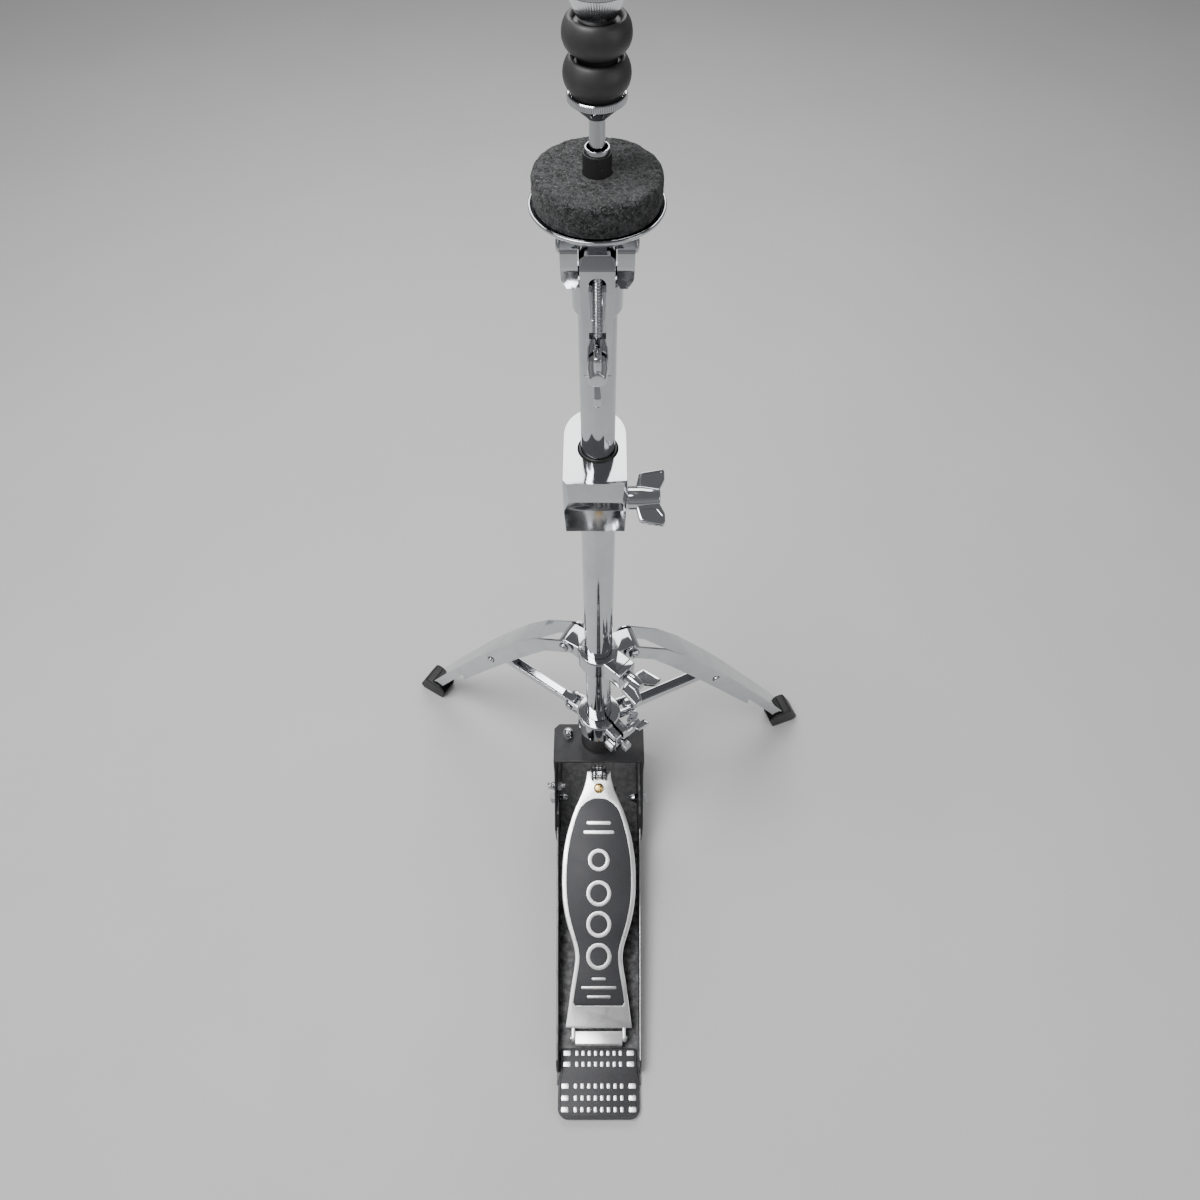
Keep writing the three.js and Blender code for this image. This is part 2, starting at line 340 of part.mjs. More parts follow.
// ---------- cymbal seat and tilter ----------
{
  // collar on the tube, shoulders, and two thick ears that carry the tilt pins across X
  let s = turn([[UPPER_R + GAP, 697], [13.2, 697], [14, 698.5], [14, 716], [12.8, 719], [UPPER_R - 0.3, 719], [UPPER_R - 0.3, 712.3], [UPPER_R + GAP, 712.3]], 36);
  const lug = rounded([[-14, 741, 2.5], [-14, 728, 6], [-8, 707, 0], [8, 707, 0], [12, 724, 8], [12, 741, 3]], 3);
  for (const k of [-1, 1]) {
    const o = [[10, 712], [12.5, 706], [15, 707], [19, 718], [19, 741], [10, 741]].map(([x, z]) => [k * x, z]);
    const slab = prism(k > 0 ? o : o.reverse(), 30, frame([1, 0, 0], [0, 0, 1], [0, -1, 0], [0, 14, 0]));
    s = s.add(both(slab, prism(lug, 50, acrossX(-25))));
  }
  s = cut(s, rod(2.8, -30, 30, 16, alongX(0, TILT_Y, TILT_Z)), rod(UPPER_R + GAP, 660, 712.3, 36));
  put("tilt_bracket", s, chrome);
  for (const k of [-1, 1]) {
    const m = k > 0 ? alongX(0, TILT_Y, TILT_Z) : frame([0, 1, 0], [0, 0, -1], [-1, 0, 0], [0, TILT_Y, TILT_Z]);
    put("tilt_pivot_" + (k > 0 ? "R" : "L"), add(rod(2.5, 6.9, 20, 16, m), turn([[0, 19.3], [4.6, 19.3], [4.6, 20.4], [3.2, 21.4], [0, 21.6]], 20, m)), steel);
  }
}
{
  // dished cup, its tube, the block between the ears and the arm that hangs in front
  const cup = turn([[SEAT_BORE, 727], [8, 727], [8, 743], [10, 747], [20, 750.5], [31, 754], [CUP_R, 757], [CUP_R, 758.2], [31.5, 757.6], [20, 757.2], [SEAT_TUBE_R, 757.2], [SEAT_TUBE_R, SEAT_TUBE_TOP - 0.6], [SEAT_TUBE_R - 0.4, SEAT_TUBE_TOP], [SEAT_BORE, SEAT_TUBE_TOP]], 40);
  let block = box(-9.6, 9.6, -9.5, 9, 726, 745);
  // arm: from the block forward and down to the screw
  const face = [[-5.4, 744.5], [-9, 737], [-9, 720], [-8, 702], [-8, 669], [-6, 664], [6, 664], [8, 669], [8, 702], [9, 720], [9, 737], [5.4, 744.5]];
  const arm = both(prism([[-9, 744], [-20, 742], [-24, 736], [-23.5, 668], [-20, 664.5], [-18.5, 668], [-18.5, 726], [-9, 728]], 18, acrossX(-9)),
    prism(face, 30, frame([1, 0, 0], [0, 0, 1], [0, -1, 0], [0, 0, 0])));
  block = cut(block.add(arm), rod(SEAT_BORE, 700, 800, 28));
  let s = cut(cup.add(block), rod(SEAT_BORE, 700, 800, 28));
  // slot in the arm with a threaded stud standing in it
  s = cut(s, prism([[-4.6, 694], [4.6, 694], ...circle(0, 727.4, 4.6, 10, 0, 180)], 12, frame([1, 0, 0], [0, 0, 1], [0, -1, 0], [0, -15, 0])));
  s = s.add(rod(2.3, 690, 733, 16, M4().makeTranslation(0, -21, 0)));
  s = cut(s, rod(3.3, -10, 40, 16, alongY(0, 0, 679)));
  for (const k of [-1, 1]) s = cut(s, rod(2.8, 6.4, 20, 16, k > 0 ? alongX(0, TILT_Y, TILT_Z) : frame([0, 1, 0], [0, 0, -1], [-1, 0, 0], [0, TILT_Y, TILT_Z])));
  put("seat_cup", s, chrome);
  put("seat_felt", turn([[SLEEVE_R + GAP, 757.6], [FELT_R - 1, 758.4], [FELT_R, 761], [FELT_R, SEAT_TOP - 2.2], [FELT_R - 2, SEAT_TOP], [SLEEVE_R + GAP, SEAT_TOP]], 48), felt);
  put("seat_sleeve", ring(SEAT_TUBE_R + GAP, SLEEVE_R, 757.6, SLEEVE_TOP, 28), rubber);
  const m = alongY(0, -25, 679).multiply(M4().makeRotationZ(Math.PI / 2));
  put("tilt_screw", add(rod(3, -7.4, 1, 20, m), wings(m, { hub: 6, hubH: 15, span: 36, wingH: 8, wingT: 4, wingZ0: 5, tip: 5 })), chrome);
}

// ---------- clutch ----------
{
  const z = CLUTCH_Z;
  // threaded tube with everything strung on it; it stops on the seat's tube
  put("clutch_tube", ring(ROD_R + GAP, 6, z + 4.7, z + 73, 28), chrome);
  const knurl = (r, n0, z0, z1) => {
    const n = Math.round(n0 * 0.6);
    const o = [];
    for (let i = 0; i < n; i++) {
      const a = (i / n) * 2 * Math.PI, b = ((i + 0.5) / n) * 2 * Math.PI;
      o.push([r * Math.cos(a), r * Math.sin(a)], [(r - 0.8) * Math.cos(b), (r - 0.8) * Math.sin(b)]);
    }
    return prism(o, z1 - z0, upFrom(z0));
  };
  put("clutch_bottom_nut", cut(add(turn([[0, z], [5.2, z], [6.2, z + 1], [12.4, z + 6.6], [12.4, z + 10.3], [0, z + 10.3]], 32), knurl(13.5, 32, z + 7, z + 10.3)),
    rod(12, z + 8.4, z + 12, 32), rod(6.3, z + 4.4, z + 12, 28), rod(ROD_R + GAP, z - 4, z + 12, 24)), chrome);
  put("clutch_felt_lower", turn([[6.3, z + 8.8], [11.2, z + 8.8], [11.5, z + 10.6], [13.2, z + 12.6], [14.6, z + 15], [15, z + 18.6], [14.2, z + 22.2], [13, z + 24.3], [11.6, z + 25.1], [10.6, z + 24.8], [10, z + 23], [6.3, z + 23]], 32), felt);
  put("clutch_felt_upper", turn([[6.3, z + 23.5], [8.9, z + 23.5], [9.3, z + 25.6], [11.2, z + 27], [13.2, z + 28.8], [14.6, z + 31.2], [15, z + 34.5], [14.2, z + 37.8], [12.9, z + 39.8], [11.5, z + 40.6], [10.4, z + 40.2], [9.8, z + 38.5], [6.3, z + 38.5]], 32), felt);
  put("clutch_top_nut", cut(add(turn([[0, z + 39.2], [8, z + 39.2], [9.2, z + 42.5], [12.3, z + 49.3], [12.3, z + 54], [9, z + 56], [0, z + 56]], 32), knurl(13.5, 32, z + 49.5, z + 53.4)), rod(6.3, z + 30, z + 60, 28)), chrome);
  put("clutch_lock_nut", cut(knurl(11.5, 24, z + 56.4, z + 62.4), rod(6.3, z + 50, z + 66, 28)), chrome);
  // body that grips the rod
  let b = turn([[0, z + 64], [11, z + 64], [12, z + 66], [12, z + 92], [10.5, z + 96], [0, z + 96]], 28);
  b = add(b, rod(6.8, 0, 17, 20, alongY(0, 0, z + 84)));
  b = cut(b, rod(6.3, z + 60, z + 73.3, 28), rod(ROD_R + GAP, z + 60, z + 100, 24), rod(3.3, 0, 20, 16, alongY(0, 0, z + 84)));
  put("clutch_body", b, chrome);
  const m = alongY(0, -17.6, z + 84).multiply(M4().makeRotationZ(0.2));
  put("clutch_screw", add(rod(3, -13, 1, 18, m), wings(m, { hub: 5.5, hubH: 13, span: 34, wingH: 8, wingT: 4, wingZ0: 4, tip: 5 })), chrome);
}

// ---------- legs ----------
const radial = (az) => {
  const a = (az * Math.PI) / 180;
  return frame([Math.cos(a), Math.sin(a), 0], [0, 0, 1], [Math.sin(a), -Math.cos(a), 0], [0, 0, 0]);
};
// in the leg's own frame: x = distance from the tube axis, y = height, z = across
const acrossLeg = (m, w0) => m.clone().multiply(M4().makeTranslation(0, 0, w0));
const pinAt = (m, [r, z], w = 0) => m.clone().multiply(M4().makeTranslation(r, z, w));
const TOP = [[64, 300.5], [88, 273], [122, 225], [150, 183], [175, 142.5], [205, 95], [241, 34.5], [250, 19]];
function offset(line, d) {
  // shift a polyline to its right-hand side by d (towards the tube and the floor)
  return line.map((p, i) => {
    const a = line[Math.max(i - 1, 0)], b = line[Math.min(i + 1, line.length - 1)];
    const t = new THREE.Vector2(b[0] - a[0], b[1] - a[1]).normalize();
    return [p[0] + t.y * d, p[1] - t.x * d];
  });
}
const depthAt = (i, n) => [17, 19.5, 20, 19.5, 18.5, 17, 14, 13][i];
const STRUT_SHORT = 13;
const LOW = TOP.map((p, i) => offset(TOP, depthAt(i))[i]);
function makeLeg(az, n) {
  const m = radial(az);
  const pivot = LEG_PIVOT;
  // cheek outline: round end at the pivot, top line, foot end, and the lower edge back
  const cheek = [...circle(pivot[0], pivot[1], 9, 8, 215, 80), ...TOP, ...LOW.slice().reverse()];
  const outer = prism(cheek.slice().reverse(), 26, acrossLeg(m, -13));
  const inTop = offset(TOP, 1.8);
  // the space between the cheeks: open below, and open above near the pivot
  const space = [[10, 345], [60, 345], [64.5, 300 - 0.6], ...inTop.slice(1), [252, 8], [238, 8], ...offset(TOP, 40).slice(1, -1).reverse(), [40, 265], [10, 290]];
  let s = cut(outer, prism(space.slice().reverse(), 22.4, acrossLeg(m, -11.2)));
  // narrower towards the foot
  for (const k of [-1, 1]) {
    const wedge = [[134, k * 13.01], [146, k * 11.6], [270, k * 10.2], [270, k * 20], [134, k * 20]];
    // wedge lies in plan: (distance, across), extruded upwards
    const up = m.clone().multiply(frame([1, 0, 0], [0, 0, k > 0 ? 1 : 1], [0, -1, 0], [0, 400, 0]));
    s = cut(s, prism(k > 0 ? wedge : wedge.slice().reverse(), 400, up));
  }
  s = cut(s, rod(2.8, -20, 20, 16, pinAt(m, pivot)));
  return { m, s };
}
for (const [az, n] of [[AZ_L, "L"], [AZ_R, "R"]]) {
  const { m, s } = makeLeg(az, n);
  // the taper leaves a thin wall in the outer part, so the channel there is lined from inside
  const liner = [...offset(TOP, 0.2).slice(3), [246, 12], ...offset(TOP, 12).slice(3).reverse()];
  let leg = s;
  const lin = prism(liner.slice().reverse(), 20, acrossLeg(m, -10));
  const hollow = prism([...offset(TOP, 2.0).slice(3), [250, 5], ...offset(TOP, 30).slice(3).reverse()].slice().reverse(), 17, acrossLeg(m, -8.5));
  const skin = cut(lin, hollow);
  leg = leg.add(both(skin, prism([[138, -10], [270, -10], [270, 10], [138, 10]], 400, m.clone().multiply(frame([1, 0, 0], [0, 0, 1], [0, -1, 0], [0, 400, 0])))));
  // foot: a rubber boot over the leg's end
  const boot = rounded([[232, 0, 3], [262, 0, 3], [266, 6, 3], [252.5, 33, 4], [231, 30, 4], [227, 22, 3]], 3);
  let f = prism(boot.slice(), 26, acrossLeg(m, -13), [], 1);
  const pocket = [...offset(TOP, -0.4).slice(5), [252.5, 14], [240, 7], ...offset(TOP, 22).slice(5).reverse()];
  f = cut(f, prism(pocket.slice().reverse(), 21.6, acrossLeg(m, -10.8)));
  put("foot_" + n, f, rubber);
  // the leg stops inside the boot's pocket
  const stop = prism([[200, 9.5], [262, 9.5], [262, -60], [200, -60]].reverse(), 60, acrossLeg(m, -30));
  leg = cut(leg, stop);
  // headed pins in both cheeks, with room for the strut between their ends
  for (const k of [-1, 1]) {
    const at = k > 0 ? pinAt(m, STRUT_PIN) : pinAt(m, STRUT_PIN).multiply(frame([0, 1, 0], [1, 0, 0], [0, 0, -1], [0, 0, 0]));
    leg = leg.add(turn([[0, 5.8], [3, 5.8], [3, 12.6], [4.4, 12.6], [4.2, 14.4], [3, 15.4], [0, 15.6]], 18, at));
  }
  put("leg_" + n, leg, chrome);
  const bolt = add(prism(hexagon(9), 3.6, pinAt(m, LEG_PIVOT, 13.3)), rod(2.5, -14, 14, 16, pinAt(m, LEG_PIVOT)), rod(4.8, -16.2, -13.3, 20, pinAt(m, LEG_PIVOT)));
  put("leg_pivot_" + n, bolt, steel);
  // strut: a folded channel between the strut collar and the leg
  const [r0, z0] = STRUT_PIVOT, [r1, z1] = STRUT_PIN;
  const L = Math.hypot(r1 - r0, z1 - z0), ux = (r1 - r0) / L, uz = (z1 - z0) / L;
  const sf = m.clone().multiply(frame([ux, uz, 0], [-uz, ux, 0], [0, 0, 1], [r0, z0, 0]));
  // it stops short of the pin, so that its end swings clear inside the leg
  const E = L - STRUT_SHORT;
  const so = [...circle(0, 0, 5.4, 6, 90, 270), [12, -5.4], [E - 10, -4.6], ...circle(E, 0, 4.2, 6, 270, 450), [E - 10, 4.2], [10, 4.6]];
  let st = prism(so, 10, acrossLeg(sf, -5));
  // open above, flat web below
  st = cut(st, prism([[12, 20], [13, -3.8], [E - 11, -3.2], [E - 10, 20]].reverse(), 7, acrossLeg(sf, -3.5)));
  // its pivot rivet, headed over outside the collar's ears
  st = add(st, rod(2.5, -9.2, 9.2, 16, sf), turn([[0, 8.7], [4.4, 8.7], [4.2, 10], [3, 11], [0, 11.2]], 18, sf), turn([[0, -8.7], [4.4, -8.7], [4.2, -10], [3, -11], [0, -11.2]], 18, sf));
  put("strut_" + n, st, chrome);
}
// collars
{
  let s = turn([[LOWER_R + GAP, 299], [18.4, 299], [19, 300.5], [19, 321], [18, 323], [LOWER_R + GAP, 323]], 36);
  let t = turn([[LOWER_R + GAP, 160.5], [21.6, 160.5], [22.4, 162], [22.4, 190], [21.2, 192], [LOWER_R + GAP, 192]], 36);
  for (const az of [AZ_L, AZ_R]) {
    const m = radial(az);
    const ear = [...circle(LEG_PIVOT[0], LEG_PIVOT[1], 7.4, 6, -60, 100), [16, 323], [16, 303]];
    s = s.add(prism(ear, 21, acrossLeg(m, -10.5)));
    const lug = [...circle(STRUT_PIVOT[0], STRUT_PIVOT[1], 6, 6, -70, 90), [18, 189], [18, 172]];
    for (const w0 of [-8.4, 5.4]) t = t.add(prism(lug, 3, acrossLeg(m, w0)));
  }
  // clamp lugs, to the front right
  const g1 = radial(LUG_UPPER), g2 = radial(LUG_LOWER);
  s = s.add(prism([[8, 300], [35, 300], [35, 322.6], [8, 322.6]], 21, acrossLeg(g1, -10.5)));
  t = t.add(prism([[8, 158], [35.5, 158], [35.5, 187], [8, 191]], 19, acrossLeg(g2, -9.5)));
  s = cut(s, prism([[28.6, 321.4], [29.8, 321.4], [29.8, 325], [28.6, 325]], 30, acrossLeg(g1, -15)), rod(LOWER_R + GAP, 290, 330, 36));
  t = cut(t, prism([[0, 150], [50, 150], [50, 200], [0, 200]], 3, acrossLeg(g2, -1.5)), rod(LOWER_R + GAP, 150, 200, 36));
  for (const az of [AZ_L, AZ_R]) {
    const m = radial(az);
    s = cut(s, rod(2.8, -20, 20, 16, pinAt(m, LEG_PIVOT)));
    t = cut(t, rod(2.8, -20, 20, 16, pinAt(m, STRUT_PIVOT)));
  }
  // radial screw of the upper collar, cross bolt and stop screw of the lower one
  const out = (az, r, z) => {
    const a = (az * Math.PI) / 180;
    return frame([-Math.sin(a), Math.cos(a), 0], [0, 0, 1], [Math.cos(a), Math.sin(a), 0], [r * Math.cos(a), r * Math.sin(a), z]);
  };
  const m1 = out(LUG_UPPER, 35.3, 311);
  s = cut(s, rod(3.3, -30, 10, 16, m1));
  put("leg_collar", s, chrome);
  put("leg_screw", add(rod(3, -21, 1, 16, m1), wings(m1, { hub: 6, hubH: 17, span: 36, wingH: 16, wingT: 5, wingZ0: 6, tip: 4 })), chrome);
  // x outwards, z across the lug: a right-handed frame
  const cross = (t0) => {
    const a = (LUG_LOWER * Math.PI) / 180, r = 28, d = [-Math.sin(a), Math.cos(a), 0];
    return frame([-Math.cos(a), -Math.sin(a), 0], [0, 0, 1], d, [r * Math.cos(a) + t0 * d[0], r * Math.sin(a) + t0 * d[1], 163.8]);
  };
  const m4 = out(LUG_LOWER, 35.8, 168.5);
  t = cut(t, rod(3.0, -30, 30, 16, cross(0)), rod(2.6, -4.6, 4, 14, m4));
  put("strut_collar", t, chrome);
  put("strut_bolt", add(rod(2.7, -12, 20, 16, cross(0)), box(-5, 5, -5, 5, -13.6, -9.8, cross(0))), steel);
  put("strut_wing_nut", cut(wings(cross(9.8), { hub: 6, hubH: 22, span: 24, wingH: 10, wingT: 5, wingZ0: 13.5, tip: 4 }), rod(3.0, -5, 40, 16, cross(0))), chrome);
  put("strut_stop_screw", add(rod(2.3, -4.2, 3, 14, m4), box(-4.2, 4.2, -4.2, 4.2, 2, 9, m4)), steel);
}

export default group;
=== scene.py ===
# Two-leg hi-hat stand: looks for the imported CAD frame. Lengths in the builders below are millimetres in
# the CAD frame (+Z up the tube, -Y towards the heel of the pedal); put() writes metres.
import json
import math

import bmesh
import bpy
from mathutils import Matrix, Vector, noise
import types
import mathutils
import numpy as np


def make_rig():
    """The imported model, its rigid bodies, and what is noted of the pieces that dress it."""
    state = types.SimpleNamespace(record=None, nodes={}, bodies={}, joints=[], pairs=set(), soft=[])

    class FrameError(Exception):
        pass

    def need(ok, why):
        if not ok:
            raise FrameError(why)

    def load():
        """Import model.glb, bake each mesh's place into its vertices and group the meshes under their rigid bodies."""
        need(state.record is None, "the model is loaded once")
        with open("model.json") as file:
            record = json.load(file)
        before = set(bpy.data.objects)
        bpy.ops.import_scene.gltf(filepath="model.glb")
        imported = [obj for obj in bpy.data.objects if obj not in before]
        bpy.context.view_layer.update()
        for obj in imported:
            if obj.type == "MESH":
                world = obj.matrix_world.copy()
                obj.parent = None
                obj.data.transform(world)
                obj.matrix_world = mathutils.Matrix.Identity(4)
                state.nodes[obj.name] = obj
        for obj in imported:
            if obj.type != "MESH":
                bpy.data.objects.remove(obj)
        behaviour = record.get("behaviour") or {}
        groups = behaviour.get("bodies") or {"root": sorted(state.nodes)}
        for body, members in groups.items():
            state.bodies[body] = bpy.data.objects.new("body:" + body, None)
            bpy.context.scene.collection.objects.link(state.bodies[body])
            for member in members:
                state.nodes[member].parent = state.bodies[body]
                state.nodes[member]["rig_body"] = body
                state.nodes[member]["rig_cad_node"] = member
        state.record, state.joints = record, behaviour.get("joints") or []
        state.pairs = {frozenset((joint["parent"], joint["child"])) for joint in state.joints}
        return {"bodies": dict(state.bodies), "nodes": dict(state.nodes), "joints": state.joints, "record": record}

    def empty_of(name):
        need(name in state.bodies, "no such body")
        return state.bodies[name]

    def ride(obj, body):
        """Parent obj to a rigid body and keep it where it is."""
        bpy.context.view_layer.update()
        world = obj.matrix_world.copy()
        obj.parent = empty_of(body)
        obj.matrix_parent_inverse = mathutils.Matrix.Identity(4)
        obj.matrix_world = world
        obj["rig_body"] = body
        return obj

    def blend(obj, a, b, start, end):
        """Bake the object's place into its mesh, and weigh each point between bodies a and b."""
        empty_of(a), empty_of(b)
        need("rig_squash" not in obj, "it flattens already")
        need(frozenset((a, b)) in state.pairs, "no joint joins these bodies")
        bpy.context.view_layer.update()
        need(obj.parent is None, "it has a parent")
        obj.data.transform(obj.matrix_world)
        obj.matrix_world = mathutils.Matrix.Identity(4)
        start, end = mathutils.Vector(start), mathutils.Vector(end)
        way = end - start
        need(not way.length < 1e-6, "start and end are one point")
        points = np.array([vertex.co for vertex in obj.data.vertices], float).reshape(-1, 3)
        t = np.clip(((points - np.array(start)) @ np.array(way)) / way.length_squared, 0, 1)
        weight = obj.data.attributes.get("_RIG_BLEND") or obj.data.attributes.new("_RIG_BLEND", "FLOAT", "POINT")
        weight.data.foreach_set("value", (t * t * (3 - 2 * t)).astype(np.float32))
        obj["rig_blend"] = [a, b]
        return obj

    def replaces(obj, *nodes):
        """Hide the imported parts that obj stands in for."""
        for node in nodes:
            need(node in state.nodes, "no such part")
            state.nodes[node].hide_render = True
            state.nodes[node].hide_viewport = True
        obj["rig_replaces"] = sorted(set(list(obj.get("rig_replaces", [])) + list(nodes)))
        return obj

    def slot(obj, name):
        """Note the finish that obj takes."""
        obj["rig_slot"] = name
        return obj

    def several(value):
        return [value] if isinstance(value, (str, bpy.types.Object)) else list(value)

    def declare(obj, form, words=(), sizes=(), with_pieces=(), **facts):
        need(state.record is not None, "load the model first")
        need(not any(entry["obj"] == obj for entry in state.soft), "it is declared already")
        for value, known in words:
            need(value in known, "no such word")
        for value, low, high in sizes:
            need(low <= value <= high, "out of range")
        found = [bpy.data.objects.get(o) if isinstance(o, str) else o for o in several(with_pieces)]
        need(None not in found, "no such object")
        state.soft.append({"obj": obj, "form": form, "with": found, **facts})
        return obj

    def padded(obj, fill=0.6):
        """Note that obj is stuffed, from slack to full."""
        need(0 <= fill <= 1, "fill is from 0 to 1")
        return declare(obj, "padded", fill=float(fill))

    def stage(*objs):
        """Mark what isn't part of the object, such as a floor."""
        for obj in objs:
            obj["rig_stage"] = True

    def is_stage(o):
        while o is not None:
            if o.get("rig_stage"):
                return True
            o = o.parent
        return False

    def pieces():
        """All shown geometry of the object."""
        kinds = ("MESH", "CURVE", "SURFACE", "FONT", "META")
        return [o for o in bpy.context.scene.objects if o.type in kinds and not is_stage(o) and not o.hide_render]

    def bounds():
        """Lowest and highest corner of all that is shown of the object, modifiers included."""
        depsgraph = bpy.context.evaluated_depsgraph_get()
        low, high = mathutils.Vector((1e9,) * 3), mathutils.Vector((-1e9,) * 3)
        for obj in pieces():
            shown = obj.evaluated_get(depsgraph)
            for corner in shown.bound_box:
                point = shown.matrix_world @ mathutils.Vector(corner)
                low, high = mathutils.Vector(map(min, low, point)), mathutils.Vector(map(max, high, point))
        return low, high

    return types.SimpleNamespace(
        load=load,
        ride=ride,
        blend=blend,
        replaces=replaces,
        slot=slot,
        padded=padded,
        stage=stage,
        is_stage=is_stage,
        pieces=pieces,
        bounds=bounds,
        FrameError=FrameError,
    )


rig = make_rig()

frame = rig.load()
cad_lo, cad_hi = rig.bounds()
NODES = frame["nodes"]
scene = bpy.context.scene

# ---------------------------------------------------------------- camera
cam_data = bpy.data.cameras.new("Camera")
cam = bpy.data.objects.new("Camera", cam_data)
scene.collection.objects.link(cam)
cam.location = (0.0013, -0.3905, 0.999)
cam.rotation_euler = (math.radians(33.2), 0.0, 0.0)
cam_data.sensor_width = 36.0
cam_data.lens = 25.5
cam_data.clip_start = 0.01
cam_data.clip_end = 60.0
scene.camera = cam

# ---------------------------------------------------------------- frames and outlines
pi, sin, cos, rad = math.pi, math.sin, math.cos, math.radians
I4 = Matrix.Identity(4)


def F(x, y, z, o):
    return Matrix(((x[0], y[0], z[0], o[0]), (x[1], y[1], z[1], o[1]), (x[2], y[2], z[2], o[2]), (0, 0, 0, 1)))


def T(x, y, z):
    return Matrix.Translation((x, y, z))


def RZ(deg):
    return Matrix.Rotation(rad(deg), 4, "Z")


def along_x(x, y, z):
    return F((0, 1, 0), (0, 0, 1), (1, 0, 0), (x, y, z))


def along_mx(x, y, z):
    return F((0, 1, 0), (0, 0, -1), (-1, 0, 0), (x, y, z))


def along_y(x, y, z):
    return F((1, 0, 0), (0, 0, 1), (0, -1, 0), (x, y, z))


def across_x(x0):
    return F((0, 1, 0), (0, 0, 1), (1, 0, 0), (x0, 0, 0))


def up(z0):
    return T(0, 0, z0)


def circle(cx, cy, r, n=48, a0=0.0, a1=360.0):
    m = n + (1 if a1 - a0 < 360 else 0)
    return [(cx + r * cos(rad(a0 + (a1 - a0) * i / n)), cy + r * sin(rad(a0 + (a1 - a0) * i / n))) for i in range(m)]


def rounded(pts, n=5):
    """Outline with filleted corners: (x, y) or (x, y, radius)."""
    out = []
    k = len(pts)
    for i, p in enumerate(pts):
        if len(p) < 3 or not p[2]:
            out.append((p[0], p[1]))
            continue
        c = Vector(p[:2])
        u = Vector(pts[i - 1][:2]) - c
        v = Vector(pts[(i + 1) % k][:2]) - c
        lu, lv = u.length, v.length
        u.normalize()
        v.normalize()
        half = math.acos(max(-1, min(1, u.dot(v)))) / 2
        if half > rad(89) or half < rad(3):
            out.append((p[0], p[1]))
            continue
        r = min(p[2], 0.49 * min(lu, lv) * math.tan(half))
        d = r / math.tan(half)
        s, e = c + u * d, c + v * d
        o = c + (u + v).normalized() * (r / sin(half))
        t0, t1 = math.atan2(s.y - o.y, s.x - o.x), math.atan2(e.y - o.y, e.x - o.x)
        while t1 - t0 > pi:
            t1 -= 2 * pi
        while t1 - t0 < -pi:
            t1 += 2 * pi
        out += [(o.x + r * cos(t0 + (t1 - t0) * j / n), o.y + r * sin(t0 + (t1 - t0) * j / n)) for j in range(n + 1)]
    return out


def spline(pts, n=6):
    """Centripetal-like Catmull-Rom through the points, open ended."""
    out = []
    for i in range(len(pts) - 1):
        p0, p1, p2, p3 = (Vector(pts[max(i - 1, 0)]), Vector(pts[i]), Vector(pts[i + 1]), Vector(pts[min(i + 2, len(pts) - 1)]))
        for j in range(n):
            t = j / n
            out.append(tuple(0.5 * ((2 * p1) + (p2 - p0) * t + (2 * p0 - 5 * p1 + 4 * p2 - p3) * t * t + (3 * p1 - p0 - 3 * p2 + p3) * t ** 3)))
    out.append(tuple(pts[-1]))
    return out


def area(o):
    return 0.5 * sum(o[i - 1][0] * o[i][1] - o[i][0] * o[i - 1][1] for i in range(len(o)))


def inset(o, d):
    """Outline (counter-clockwise) moved inwards by d, mitred."""
    k = len(o)
    out = []
    for i in range(k):
        a, b, c = Vector(o[i - 1]), Vector(o[i]), Vector(o[(i + 1) % k])
        u, v = (b - a), (c - b)
        if u.length < 1e-9 or v.length < 1e-9:
            out.append((b.x, b.y))
            continue
        u.normalize()
        v.normalize()
        n1, n2 = Vector((-u.y, u.x)), Vector((-v.y, v.x))
        m = n1 + n2
        if m.length < 1e-6:
            m = n1.copy()
        m.normalize()
        f = d / max(0.35, m.dot(n1))
        out.append((b.x + m.x * f, b.y + m.y * f))
    return out


def clean(o, tol=1e-4):
    out = []
    for p in o:
        if not out or math.hypot(p[0] - out[-1][0], p[1] - out[-1][1]) > tol:
            out.append(p)
    if math.hypot(out[0][0] - out[-1][0], out[0][1] - out[-1][1]) <= tol:
        out.pop()
    return out


# ---------------------------------------------------------------- solids (meshes in millimetres)
SEG = 96


def from_bm(bm):
    bmesh.ops.recalc_face_normals(bm, faces=bm.faces[:])
    me = bpy.data.meshes.new("part")
    bm.to_mesh(me)
    bm.free()
    return me


def turn(profile, m=I4, seg=SEG):
    """Closed profile of (r, z) or (r, z, fillet) turned about Z."""
    pts = clean(rounded(profile))
    bm = bmesh.new()
    rings = []
    for r, z in pts:
        if r < 1e-5:
            rings.append([bm.verts.new(m @ Vector((0, 0, z)))])
        else:
            rings.append([bm.verts.new(m @ Vector((r * cos(2 * pi * i / seg), r * sin(2 * pi * i / seg), z))) for i in range(seg)])
    for k in range(len(rings)):
        a, b = rings[k], rings[(k + 1) % len(rings)]
        if len(a) == 1 and len(b) == 1:
            continue
        for i in range(seg):
            j = (i + 1) % seg
            if len(a) == 1:
                bm.faces.new((a[0], b[i], b[j]))
            elif len(b) == 1:
                bm.faces.new((a[i], b[0], a[j]))
            else:
                bm.faces.new((a[i], b[i], b[j], a[j]))
    return from_bm(bm)


def rod(r, z0, z1, m=I4, seg=SEG, c=0.0):
    return turn([(0, z0), (r, z0, c), (r, z1, c), (0, z1)], m, seg)


def ring(ri, ro, z0, z1, m=I4, seg=SEG, c=0.0):
    return turn([(ri, z0, c), (ro, z0, c), (ro, z1, c), (ri, z1, c)], m, seg)


